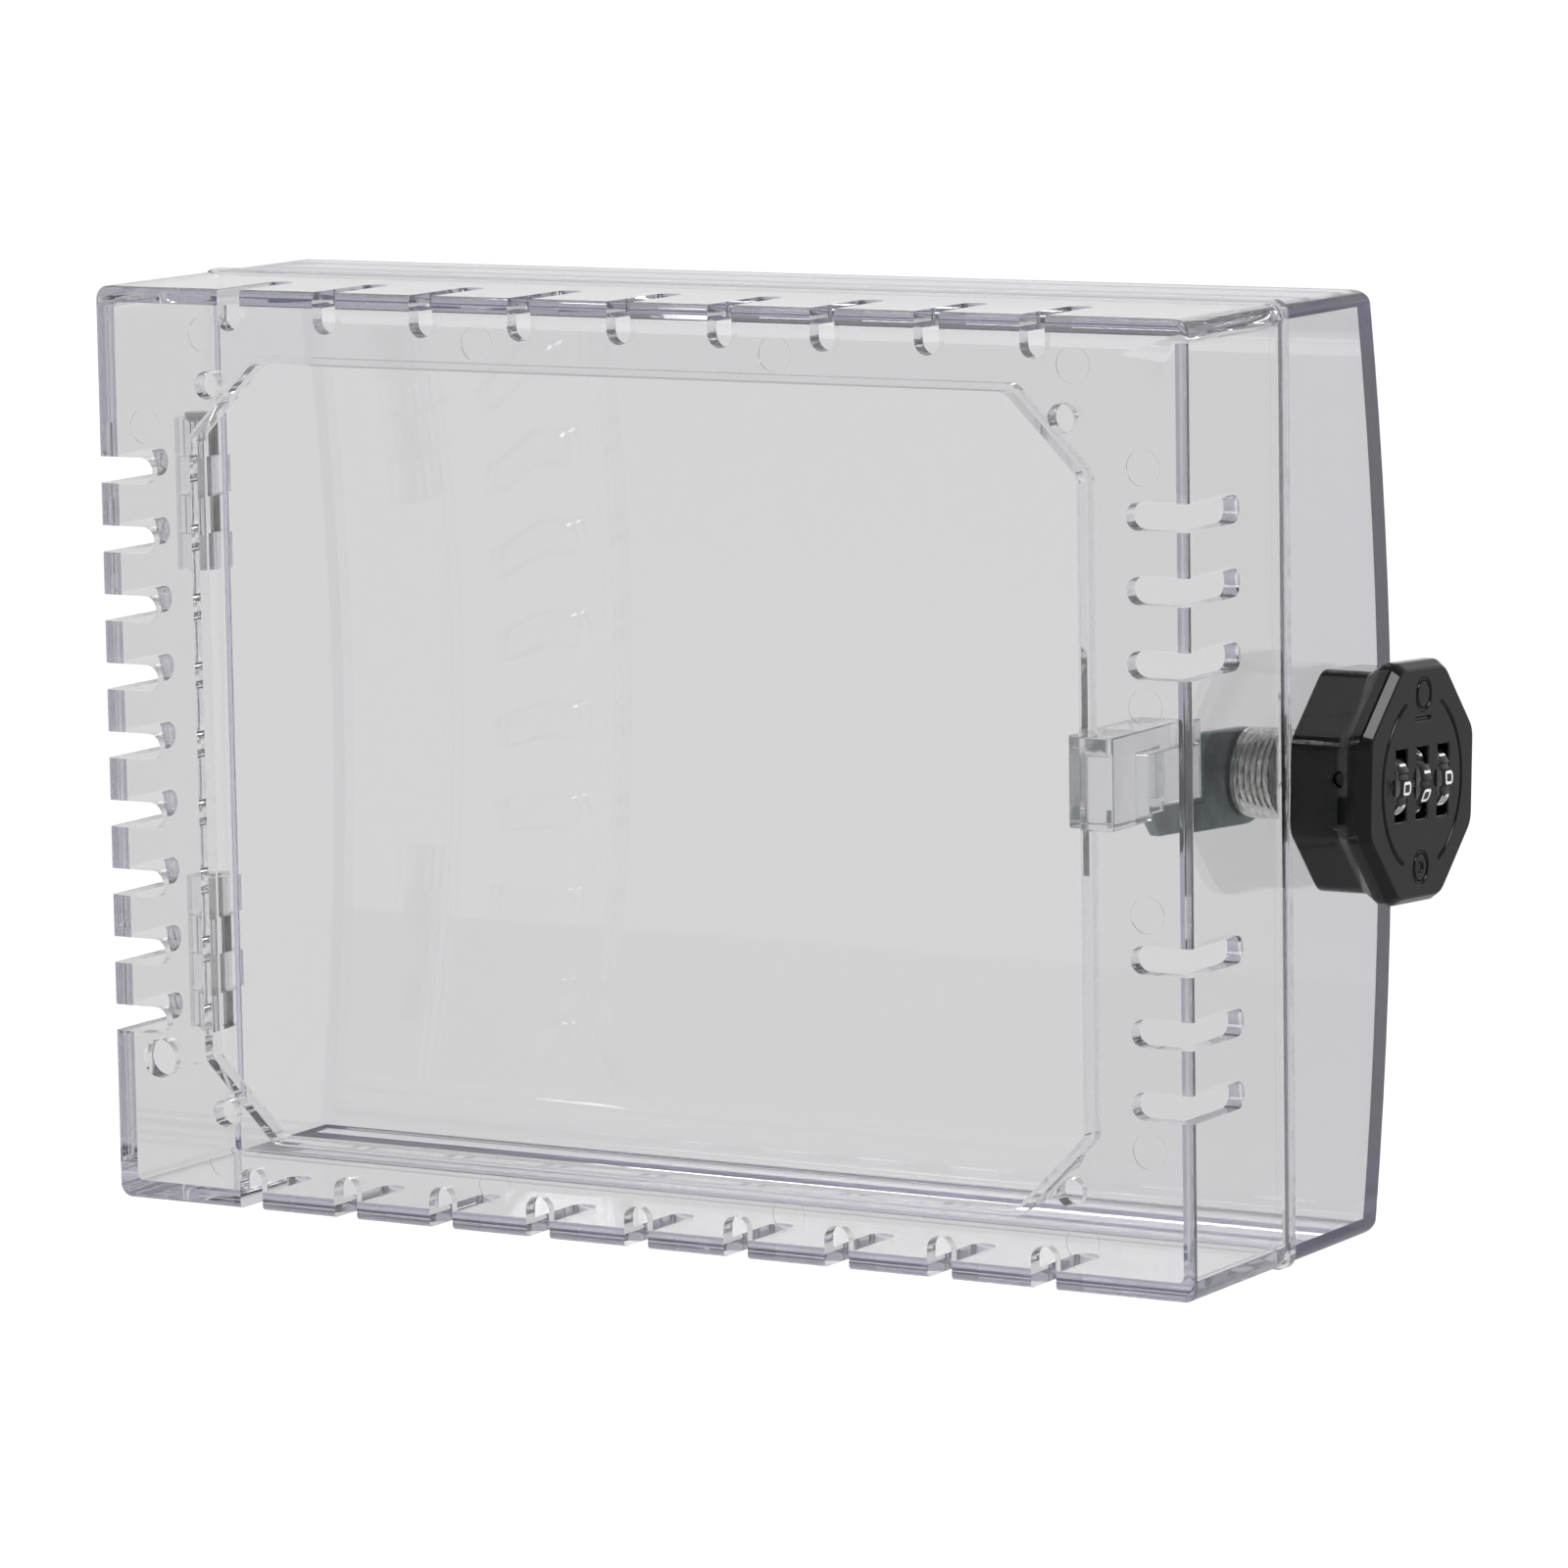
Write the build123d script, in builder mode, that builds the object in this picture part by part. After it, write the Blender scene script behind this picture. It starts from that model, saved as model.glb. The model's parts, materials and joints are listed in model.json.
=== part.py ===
from build123d import *
import math
import os

os.makedirs("parts", exist_ok=True)

# Frame: origin at the centre of the back face on the wall, +Y into the wall, +Z up.
# The front faces -Y. The hinges are on the +X side and the lock is on the -X side.

# Overall size, millimetres
width = 219.3
height = 165.0
base_depth = 36.5
cover_edge_depth = 67.5
cover_mid_depth = 75.2
wall = 3.0
corner_radius = 2.4
inner_radius = 1.2
back_edge_radius = 0.9
front_edge_radius = 3.5
body_gap = 0.3

# Rim, rebate and tongue where the cover meets the base
rim_wall = 1.5
rebate_depth = 2.3
tongue_length = 2.0
bead_width = 1.9
bead_proud_top = 0.6
bead_proud_side = 0.3

# Thermostat opening in the back plate
frame_side = 20.25
frame_top = 13.0
opening_half_width = width / 2 - frame_side
opening_half_height = height / 2 - frame_top
opening_shift = 0.55
opening_corner = 13.7
opening_vertex_radius = 3.0
lip_width = 1.2
lip_depth = 5.3

# Wall screw holes and cable hole
screw_inset_x = 3.4
screw_inset_z = 4.1
screw_x = opening_half_width - screw_inset_x
screw_z = opening_half_height - screw_inset_z
screw_hole = 5.0
cable_hole = 7.0
cable_edge_x = 9.65
cable_edge_z = 26.0
cable_x = width / 2 - cable_edge_x
cable_z = cable_edge_z - height / 2

# Vent slots, each one wrapping from the back plate into a wall
slot_width = 4.8
side_slot_pitch = 12.4
side_slot_reach = 11.6
top_slot_pitch = 20.2
top_slot_reach = 7.4
slot_wall_reach = 18.6

# Ejector pin marks on the inside of the back plate
mark_diameter = 6.3
mark_depth = 0.2
mark_column_inset = 22.15
mark_middle = 30.0
mark_row_inset = 8.2
mark_side_inset = 9.15
mark_side_high = 57.5
mark_side_low = 17.5

# Hinges
hinge_offset = 4.5
hinge_x = width / 2 + hinge_offset
knuckle_radius = 4.2
knuckle_pitch = 7.03
knuckle_gap = 0.32
upper_hinge_low = 27.8
lower_hinge_low = -56.8
pin_diameter = 3.2
pin_clearance = 0.08
pin_head = 4.6
pin_head_thick = 0.9
base_web = 9.0
cover_web = 2.2

# Lock barrel through the -X wall of the cover
lock_y = -51.6
lock_z = 0.0
wall_outside = -width / 2
wall_inside = -width / 2 + wall
barrel_radius = 7.9
barrel_flat = 4.9
barrel_flange = 11.5
barrel_flange_thick = 1.45
neck_length = 6.8
thread_length = 7.75
thread_start = wall_inside + neck_length
barrel_end = thread_start + thread_length
end_groove_from = 1.3
end_groove_wide = 0.4
end_groove_deep = 0.5
washer_radius = 9.6
washer_thick = 1.0
washer_slots = 6
washer_slot_middle = 7.9
washer_slot_long = 1.8
washer_slot_wide = 2.2
spindle_radius = 3.75
spindle_clearance = 0.08
spindle_flange = 6.5
spindle_flange_thick = 1.2
drive_square = 7.0

# Knob
knob_gap = 1.85
knob_body_length = 11.8
flare_length = 2.8
ring_thick = 2.1
ring_bevel = 1.7
face_thick = 3.0
knob_rear = wall_outside - knob_gap
knob_split = knob_rear - knob_body_length
knob_ring_end = knob_split - ring_thick
knob_face = knob_ring_end - ring_bevel
knob_inside_face = knob_face + face_thick
body_apothem = 19.0
ring_apothem = 20.7
face_apothem = 19.5
cavity_apothem = 16.2
inside_apothem = 14.9
knob_corner = 4.2
cavity_corner = 1.6
back_plate_thick = 1.9
rest_turn = 3.2

# Engraved marks on the face of the knob
engraving_depth = 0.3
arc_radius = 15.1
arc_line = 0.5
arc_half_angle = 63.0
sign_height = 14.5
sign_radius = 2.9
sign_line = 0.6
pointer_tip = 10.9
pointer_base = 13.4
pointer_half = 1.3

# Dials
dial_pitch = 8.06
dial_radius = 6.6
dial_width = 3.7
dial_axis_depth = 5.4
dial_axis_x = knob_face + dial_axis_depth
dial_digits = 10
groove_width = 1.0
groove_depth = 0.45
window_width = 4.3
window_height = 12.2
dial_relief = 0.35
sleeve_radius = 3.6
sleeve_half_length = 3.85
axle_radius = 1.5
axle_clearance = 0.06

# Cam
cam_gap = 0.3
cam_near = barrel_end + cam_gap
cam_thick = 2.2
cam_flat = 2.6
cam_top = 7.7
cam_low = -9.1
cam_body_reach = 16.4
cam_corner = 3.4
finger_high = -4.0
finger_reach = 29.3
finger_chamfer = 2.6
tab_reach = 3.9

# Keeper for the cam finger
keeper_top = 12.0
keeper_low = -3.9
keeper_step_low = -2.7
keeper_arm_low = -1.5
keeper_post_depth = 17.0
keeper_step_depth = 21.3
keeper_depth = 30.0
cheek_thick = 1.8
ledge_thick = 3.6
ledge_length = 4.0
cam_slot_gap = 0.6
keeper_near = cam_near - cam_slot_gap - cheek_thick
ledge_near_x = cam_near + cam_thick + cam_slot_gap
keeper_far = ledge_near_x + ledge_length
ledge_behind = 25.6
keeper_roof = 4.5


# Plane looking along the lock axis, its local x along Y and local y along Z
def lock_plane(x):
    return Plane(origin=(x, lock_y, lock_z), x_dir=(0, 1, 0), z_dir=(1, 0, 0))


# Octagon with flats on top and sides and rounded corners
def octagon(apothem, radius):
    with BuildSketch() as outline:
        RegularPolygon(apothem, 8, major_radius=False, rotation=22.5)
        if radius > 0:
            fillet(outline.vertices(), radius)
    return outline.sketch


# Rectangle with cut corners and softened corner points
def opening_outline(grow):
    half_w = opening_half_width + grow
    half_h = opening_half_height + grow
    cut = opening_corner + grow * (2 - math.sqrt(2))
    with BuildSketch() as outline:
        with Locations((opening_shift, 0)):
            Rectangle(2 * half_w, 2 * half_h)
        chamfer(outline.vertices(), cut)
        fillet(outline.vertices(), opening_vertex_radius)
    return outline.sketch


# Round bar section with two flats facing +Y and -Y
def flatted_round(radius, flat):
    with BuildSketch() as outline:
        Circle(radius)
        Rectangle(2 * flat, 2 * radius + 1, mode=Mode.INTERSECT)
    return outline.sketch


# Centre heights of the four knuckles of one hinge, from the top down
def knuckle_centres(low_end):
    return [low_end + knuckle_pitch * (3.5 - step) for step in range(4)]


upper_centres = knuckle_centres(upper_hinge_low)
lower_centres = knuckle_centres(lower_hinge_low)
base_knuckles = [upper_centres[0], upper_centres[2], lower_centres[1], lower_centres[3]]
cover_knuckles = [upper_centres[1], upper_centres[3], lower_centres[0], lower_centres[2]]
knuckle_length = knuckle_pitch - knuckle_gap
seam_cover = base_depth + body_gap

# Base tray that is screwed to the wall
with BuildPart() as base_tray:
    with BuildSketch(Plane.XZ):
        RectangleRounded(width, height, corner_radius)
    extrude(amount=base_depth)
    fillet(base_tray.edges().group_by(Axis.Y)[-1], back_edge_radius)
    # Bead along the open edge
    with BuildSketch(Plane.XZ.offset(base_depth - bead_width)):
        with Locations((-bead_proud_side / 2, 0)):
            RectangleRounded(width + bead_proud_side, height + 2 * bead_proud_top, corner_radius)
    extrude(amount=bead_width)
    # Inside
    with BuildSketch(Plane.XZ.offset(wall)):
        RectangleRounded(width - 2 * wall, height - 2 * wall, inner_radius)
    extrude(amount=base_depth, mode=Mode.SUBTRACT)
    with BuildSketch(Plane.XZ.offset(base_depth - rebate_depth)):
        RectangleRounded(width - 2 * rim_wall, height - 2 * rim_wall, inner_radius)
    extrude(amount=rebate_depth + 1, mode=Mode.SUBTRACT)
    # Lip round the opening
    with BuildSketch(Plane.XZ.offset(wall - 0.5)):
        add(opening_outline(lip_width))
    extrude(amount=lip_depth - wall + 0.5)
    with BuildSketch(Plane.XZ.offset(-1)):
        add(opening_outline(0))
    extrude(amount=lip_depth + 2, mode=Mode.SUBTRACT)
    # The lip stops short of the keeper
    with BuildSketch(Plane.XZ.offset(wall)):
        with Locations(((keeper_near + keeper_far) / 2, (keeper_top + keeper_low) / 2)):
            Rectangle(keeper_far - keeper_near, keeper_top - keeper_low)
    extrude(amount=lip_depth, mode=Mode.SUBTRACT)
    # Screw holes and cable hole
    with BuildSketch(Plane.XZ.offset(-1)):
        with Locations((screw_x, screw_z), (-screw_x, screw_z), (screw_x, -screw_z), (-screw_x, -screw_z)):
            Circle(screw_hole / 2)
        with Locations((cable_x, cable_z)):
            Circle(cable_hole / 2)
    extrude(amount=lip_depth + 2, mode=Mode.SUBTRACT)
    # Side vent slots, with the middle three left out on the lock side
    hinge_slots = [(width / 2, side_slot_pitch * n) for n in range(-4, 5)]
    lock_slots = [(-width / 2, side_slot_pitch * n) for n in range(-4, 5) if abs(n) > 1]
    with BuildSketch(Plane.XZ.offset(-1)):
        with Locations(*(hinge_slots + lock_slots)):
            SlotOverall(2 * side_slot_reach, slot_width)
    extrude(amount=wall + 1, mode=Mode.SUBTRACT)
    with BuildSketch(Plane.YZ.offset(width / 2 - wall)):
        with Locations(*[(0, z) for x, z in hinge_slots]):
            SlotOverall(2 * slot_wall_reach, slot_width)
    extrude(amount=wall + 1, mode=Mode.SUBTRACT)
    with BuildSketch(Plane.YZ.offset(-width / 2 - 1)):
        with Locations(*[(0, z) for x, z in lock_slots]):
            SlotOverall(2 * slot_wall_reach, slot_width)
    extrude(amount=wall + 1, mode=Mode.SUBTRACT)
    # Top and bottom vent slots
    slot_columns = [top_slot_pitch * n for n in range(-4, 5)]
    with BuildSketch(Plane.XZ.offset(-1)):
        with Locations(*[(x, side * height / 2) for x in slot_columns for side in (-1, 1)]):
            SlotOverall(2 * top_slot_reach, slot_width, rotation=90)
    extrude(amount=wall + 1, mode=Mode.SUBTRACT)
    with BuildSketch(Plane.XY.offset(height / 2 - wall)):
        with Locations(*[(x, 0) for x in slot_columns]):
            SlotOverall(2 * slot_wall_reach, slot_width, rotation=90)
    extrude(amount=wall + 1, mode=Mode.SUBTRACT)
    with BuildSketch(Plane.XY.offset(-height / 2 - 1)):
        with Locations(*[(x, 0) for x in slot_columns]):
            SlotOverall(2 * slot_wall_reach, slot_width, rotation=90)
    extrude(amount=wall + 1, mode=Mode.SUBTRACT)
    # Ejector pin marks
    mark_x = width / 2 - mark_column_inset
    mark_z = height / 2 - mark_row_inset
    side_x = width / 2 - mark_side_inset
    mark_row = (-mark_x, -mark_middle, mark_middle, mark_x)
    mark_columns = [(x, z) for x in mark_row for z in (-mark_z, mark_z)]
    mark_sides = [(-side_x, mark_side_high), (side_x, mark_side_high), (-side_x, -mark_side_high)]
    mark_sides += [(-side_x, mark_side_low), (-side_x, -mark_side_low)]
    with BuildSketch(Plane.XZ.offset(wall - mark_depth)):
        with Locations(*(mark_columns + mark_sides)):
            Circle(mark_diameter / 2)
    extrude(amount=mark_depth, mode=Mode.SUBTRACT)
    # Hinge knuckles with their webs
    for centre in base_knuckles:
        with BuildSketch(Plane.XY.offset(centre - knuckle_length / 2)):
            with Locations((hinge_x, -base_depth)):
                Circle(knuckle_radius)
            with BuildLine():
                Polyline(
                    (width / 2 - 1, -base_depth),
                    (hinge_x, -base_depth),
                    (hinge_x, -base_depth + knuckle_radius),
                    (width / 2, -base_depth + base_web),
                    (width / 2 - 1, -base_depth + base_web),
                    close=True,
                )
            make_face()
        extrude(amount=knuckle_length)
    for low_end in (upper_hinge_low, lower_hinge_low):
        with BuildSketch(Plane.XY.offset(low_end - 1)):
            with Locations((hinge_x, -base_depth)):
                Circle(pin_diameter / 2)
        extrude(amount=4 * knuckle_pitch + 2, mode=Mode.SUBTRACT)

# Keeper that holds the cam finger, bonded to the inside of the back plate
with BuildPart() as latch_keeper:
    with BuildSketch(Plane.XZ.offset(wall)):
        with Locations(((keeper_near + keeper_far) / 2, (keeper_top + keeper_low) / 2)):
            Rectangle(keeper_far - keeper_near, keeper_top - keeper_low)
    extrude(amount=keeper_post_depth - wall)
    with BuildSketch(Plane.XZ.offset(keeper_post_depth)):
        with Locations(((keeper_near + keeper_far) / 2, (keeper_top + keeper_arm_low) / 2)):
            Rectangle(keeper_far - keeper_near, keeper_top - keeper_arm_low)
    extrude(amount=keeper_depth - keeper_post_depth)
    with BuildSketch(Plane.XZ.offset(keeper_post_depth)):
        with Locations(((keeper_near + keeper_far) / 2, (keeper_top + keeper_step_low) / 2)):
            Rectangle(keeper_far - keeper_near, keeper_top - keeper_step_low)
    extrude(amount=keeper_step_depth - keeper_post_depth)
    # Slot for the cam finger, open at the bottom and towards the front
    with BuildSketch(Plane.XZ.offset(keeper_post_depth)):
        with Locations(((keeper_near + cheek_thick + ledge_near_x) / 2, keeper_top - keeper_roof - 10)):
            Rectangle(ledge_near_x - keeper_near - cheek_thick, 20)
    extrude(amount=keeper_depth, mode=Mode.SUBTRACT)
    # Room for the bent tab behind the ledge
    with BuildSketch(Plane.XZ.offset(keeper_post_depth)):
        with Locations(((ledge_near_x + keeper_far) / 2, keeper_top - keeper_roof - 10)):
            Rectangle(keeper_far - ledge_near_x + 1, 20)
    extrude(amount=ledge_behind - keeper_post_depth, mode=Mode.SUBTRACT)
    # The ledge ends before the cheek does
    with BuildSketch(Plane.XZ.offset(ledge_behind + ledge_thick)):
        with Locations(((ledge_near_x + keeper_far) / 2, (keeper_top + keeper_arm_low) / 2)):
            Rectangle(keeper_far - ledge_near_x + 1, keeper_top - keeper_arm_low + 1)
    extrude(amount=keeper_depth, mode=Mode.SUBTRACT)

# Hinge pins
with BuildPart() as hinge_pin_upper:
    with BuildSketch(Plane.XY.offset(upper_hinge_low)):
        with Locations((hinge_x, -base_depth)):
            Circle(pin_diameter / 2)
    extrude(amount=4 * knuckle_pitch)
    with BuildSketch(Plane.XY.offset(upper_hinge_low + 4 * knuckle_pitch - knuckle_gap / 2)):
        with Locations((hinge_x, -base_depth)):
            Circle(pin_head / 2)
    extrude(amount=pin_head_thick)

with BuildPart() as hinge_pin_lower:
    with BuildSketch(Plane.XY.offset(lower_hinge_low)):
        with Locations((hinge_x, -base_depth)):
            Circle(pin_diameter / 2)
    extrude(amount=4 * knuckle_pitch)
    with BuildSketch(Plane.XY.offset(lower_hinge_low + knuckle_gap / 2 - pin_head_thick)):
        with Locations((hinge_x, -base_depth)):
            Circle(pin_head / 2)
    extrude(amount=pin_head_thick)

# Bow of the cover front, an arc in the vertical direction only
sagitta = cover_mid_depth - cover_edge_depth
bow_radius = ((height / 2) ** 2 + sagitta ** 2) / (2 * sagitta)
inner_bow_radius = bow_radius - wall
inner_half_height = height / 2 - wall
inner_drop = inner_bow_radius - math.sqrt(inner_bow_radius ** 2 - inner_half_height ** 2)
inner_mid_depth = cover_mid_depth - wall
inner_edge_depth = inner_mid_depth - inner_drop

# Clear cover
with BuildPart() as cover_shell:
    with BuildSketch(Plane.YZ.offset(-width / 2)) as cover_profile:
        with BuildLine():
            Polyline(
                (-cover_edge_depth, height / 2),
                (-seam_cover, height / 2),
                (-seam_cover, -height / 2),
                (-cover_edge_depth, -height / 2),
            )
            ThreePointArc(
                (-cover_edge_depth, -height / 2),
                (-cover_mid_depth, 0),
                (-cover_edge_depth, height / 2),
            )
        make_face()
        fillet(cover_profile.vertices().group_by(Axis.X)[0], front_edge_radius)
    extrude(amount=width)
    with BuildSketch(Plane.XZ):
        RectangleRounded(width, height, corner_radius)
    extrude(amount=cover_mid_depth + 5, mode=Mode.INTERSECT)
    # Inside
    with BuildSketch(Plane.YZ.offset(-width / 2 + wall)):
        with BuildLine():
            Polyline(
                (-inner_edge_depth, inner_half_height),
                (-seam_cover + 1, inner_half_height),
                (-seam_cover + 1, -inner_half_height),
                (-inner_edge_depth, -inner_half_height),
            )
            ThreePointArc(
                (-inner_edge_depth, -inner_half_height),
                (-inner_mid_depth, 0),
                (-inner_edge_depth, inner_half_height),
            )
        make_face()
    extrude(amount=width - 2 * wall, mode=Mode.SUBTRACT)
    # Tongue that enters the rebate of the base
    with BuildSketch(Plane.XZ.offset(seam_cover - tongue_length)):
        tongue_w = width - 2 * (rim_wall + body_gap)
        tongue_h = height - 2 * (rim_wall + body_gap)
        RectangleRounded(tongue_w, tongue_h, inner_radius)
        Rectangle(width - 2 * wall, height - 2 * wall, mode=Mode.SUBTRACT)
    extrude(amount=tongue_length + 1)
    # Keyed hole for the lock barrel
    with BuildSketch(lock_plane(wall_outside - 1)):
        add(flatted_round(barrel_radius + 0.05, barrel_flat + 0.05))
    extrude(amount=wall + 2, mode=Mode.SUBTRACT)
    # Hinge knuckles with their webs
    for centre in cover_knuckles:
        with BuildSketch(Plane.XY.offset(centre - knuckle_length / 2)):
            with Locations((hinge_x, -base_depth)):
                Circle(knuckle_radius)
            with BuildLine():
                Polyline(
                    (width / 2 - 1, -seam_cover),
                    (hinge_x, -seam_cover),
                    (hinge_x, -base_depth - knuckle_radius),
                    (width / 2, -base_depth - cover_web),
                    (width / 2 - 1, -base_depth - cover_web),
                    close=True,
                )
            make_face()
        extrude(amount=knuckle_length)
    for low_end in (upper_hinge_low, lower_hinge_low):
        with BuildSketch(Plane.XY.offset(low_end - 1)):
            with Locations((hinge_x, -base_depth)):
                Circle(pin_diameter / 2 + pin_clearance)
        extrude(amount=4 * knuckle_pitch + 2, mode=Mode.SUBTRACT)

# Fixed barrel of the lock
with BuildPart() as lock_barrel:
    with BuildSketch(lock_plane(wall_outside - barrel_flange_thick)):
        Circle(barrel_flange)
    extrude(amount=barrel_flange_thick)
    with BuildSketch(lock_plane(wall_outside - barrel_flange_thick)):
        add(flatted_round(barrel_radius, barrel_flat))
    extrude(amount=thread_start - wall_outside + barrel_flange_thick)
    with BuildSketch(lock_plane(thread_start)):
        Circle(barrel_radius)
    extrude(amount=barrel_end - thread_start)
    # Groove behind the end ring
    with BuildSketch(lock_plane(barrel_end - end_groove_from)):
        Circle(barrel_radius + 1)
        Circle(barrel_radius - end_groove_deep, mode=Mode.SUBTRACT)
    extrude(amount=end_groove_wide, mode=Mode.SUBTRACT)
    with BuildSketch(lock_plane(wall_outside - barrel_flange_thick)):
        Circle(spindle_radius + spindle_clearance)
    extrude(amount=barrel_end - wall_outside + barrel_flange_thick, mode=Mode.SUBTRACT)

# Push-on washer that holds the barrel against the cover wall
with BuildPart() as retaining_washer:
    with BuildSketch(lock_plane(wall_inside)):
        Circle(washer_radius)
        add(flatted_round(barrel_radius, barrel_flat), mode=Mode.SUBTRACT)
        with PolarLocations(washer_slot_middle, washer_slots, start_angle=180 / washer_slots):
            Rectangle(washer_slot_long, washer_slot_wide, mode=Mode.SUBTRACT)
    extrude(amount=washer_thick)

# Spindle that turns inside the barrel and carries the cam
cam_far = cam_near + cam_thick
cam_screw_radius = 2.0
cam_screw_length = 8.2
cam_screw_head = 3.6
cam_screw_head_thick = 2.2
cam_washer_radius = 5.2
cam_washer_thick = 0.8
spindle_flange_front = knob_rear - back_plate_thick
with BuildPart() as spindle:
    with BuildSketch(lock_plane(spindle_flange_front - spindle_flange_thick)):
        Circle(spindle_flange)
    extrude(amount=spindle_flange_thick)
    with BuildSketch(lock_plane(spindle_flange_front)):
        Rectangle(drive_square, drive_square)
    extrude(amount=back_plate_thick)
    with BuildSketch(lock_plane(knob_rear)):
        Circle(spindle_radius)
    extrude(amount=cam_near - knob_rear)
    with BuildSketch(lock_plane(cam_near)):
        add(flatted_round(spindle_radius, cam_flat))
    extrude(amount=cam_thick)
    with BuildSketch(lock_plane(cam_far - cam_screw_length)):
        Circle(cam_screw_radius)
    extrude(amount=cam_screw_length + 1, mode=Mode.SUBTRACT)

# Cam plate with a low finger and a bent tab at its tip
with BuildPart() as cam_plate:
    with BuildSketch(lock_plane(cam_near)) as cam_outline:
        with Locations((0, (cam_top + cam_low) / 2)):
            Circle((cam_top - cam_low) / 2)
        with Locations((cam_body_reach / 2, (cam_top + cam_low) / 2)):
            Rectangle(cam_body_reach, cam_top - cam_low)
        fillet(cam_outline.vertices().group_by(Axis.X)[-1].sort_by(Axis.Y)[-1], cam_corner)
        with Locations((finger_reach / 2, (cam_low + finger_high) / 2)):
            Rectangle(finger_reach, finger_high - cam_low)
        tip = cam_outline.vertices().group_by(Axis.X)[-1].sort_by(Axis.Y)[0]
        chamfer(tip, finger_chamfer)
        add(flatted_round(spindle_radius, cam_flat), mode=Mode.SUBTRACT)
    extrude(amount=cam_thick)
    with BuildSketch(lock_plane(cam_far - cam_thick / 2)):
        with Locations((finger_reach - cam_thick / 2, (cam_low + finger_chamfer + finger_high) / 2)):
            Rectangle(cam_thick, finger_high - cam_low - finger_chamfer)
    extrude(amount=tab_reach + cam_thick / 2)

# Washer and screw at the end of the spindle
with BuildPart() as cam_washer:
    with BuildSketch(lock_plane(cam_far)):
        Circle(cam_washer_radius)
        Circle(cam_screw_radius + 0.15, mode=Mode.SUBTRACT)
    extrude(amount=cam_washer_thick)

with BuildPart() as cam_screw:
    with BuildSketch(lock_plane(cam_far + cam_washer_thick)):
        Circle(cam_screw_head)
    extrude(amount=cam_screw_head_thick)
    fillet(cam_screw.edges().group_by(Axis.X)[-1], 0.8)
    with BuildSketch(lock_plane(cam_far - cam_screw_length)):
        Circle(cam_screw_radius)
    extrude(amount=cam_screw_length + cam_washer_thick)
    # Cross recess
    with BuildSketch(lock_plane(cam_far + cam_washer_thick + 0.9)):
        Rectangle(3.8, 0.8)
        Rectangle(0.8, 3.8)
    extrude(amount=cam_screw_head_thick, mode=Mode.SUBTRACT)

# Centres of the three dials across the knob, seen from the back of the box
dial_offsets = [dial_pitch, 0.0, -dial_pitch]
rib_inner = 12.2
rib_outer = 13.2
rib_low = -7.7
rib_high = 7.6
rib_length = 5.2
boss_y = 9.6
boss_z = -10.4
boss_radius = 1.9
knob_screw_radius = 0.9
knob_screw_length = 5.0
knob_screw_head = 1.8
knob_screw_head_thick = 0.9
knob_screw_sunk = 1.0
key_width = 1.2
key_depth = 0.8
gate_width = 2.6
gate_depth = 1.2
skirt_length = 0.8
reset_depth = 2.6
reset_x = knob_split + reset_depth
reset_z = 1.5
reset_hole = 1.2
bar_start = dial_axis_x - 0.7
bar_half = 11.7


# Plane across the dials, its local x along X and local y along Z, normal -Y
def dial_plane(offset):
    return Plane(origin=(dial_axis_x, lock_y + offset, lock_z), x_dir=(1, 0, 0), z_dir=(0, -1, 0))


# Plane across the reset pin, its normal +Y
def reset_plane(y):
    return Plane(origin=(reset_x, y, lock_z + reset_z), x_dir=(1, 0, 0), z_dir=(0, 1, 0))


# Eight-sided sleeve of the knob, flared towards the front ring
with BuildPart() as knob_body:
    with BuildSketch(lock_plane(knob_split + flare_length)):
        add(octagon(body_apothem, knob_corner))
    extrude(amount=knob_rear - knob_split - flare_length)
    with BuildSketch(lock_plane(knob_split)):
        add(octagon(ring_apothem, knob_corner))
    with BuildSketch(lock_plane(knob_split + flare_length)):
        add(octagon(body_apothem, knob_corner))
    loft()
    with BuildSketch(lock_plane(knob_split)):
        add(octagon(cavity_apothem, cavity_corner))
    extrude(amount=knob_rear - knob_split, mode=Mode.SUBTRACT)
    with BuildSketch(reset_plane(lock_y)):
        Circle(reset_hole)
    extrude(amount=2 * ring_apothem, mode=Mode.SUBTRACT)

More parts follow.
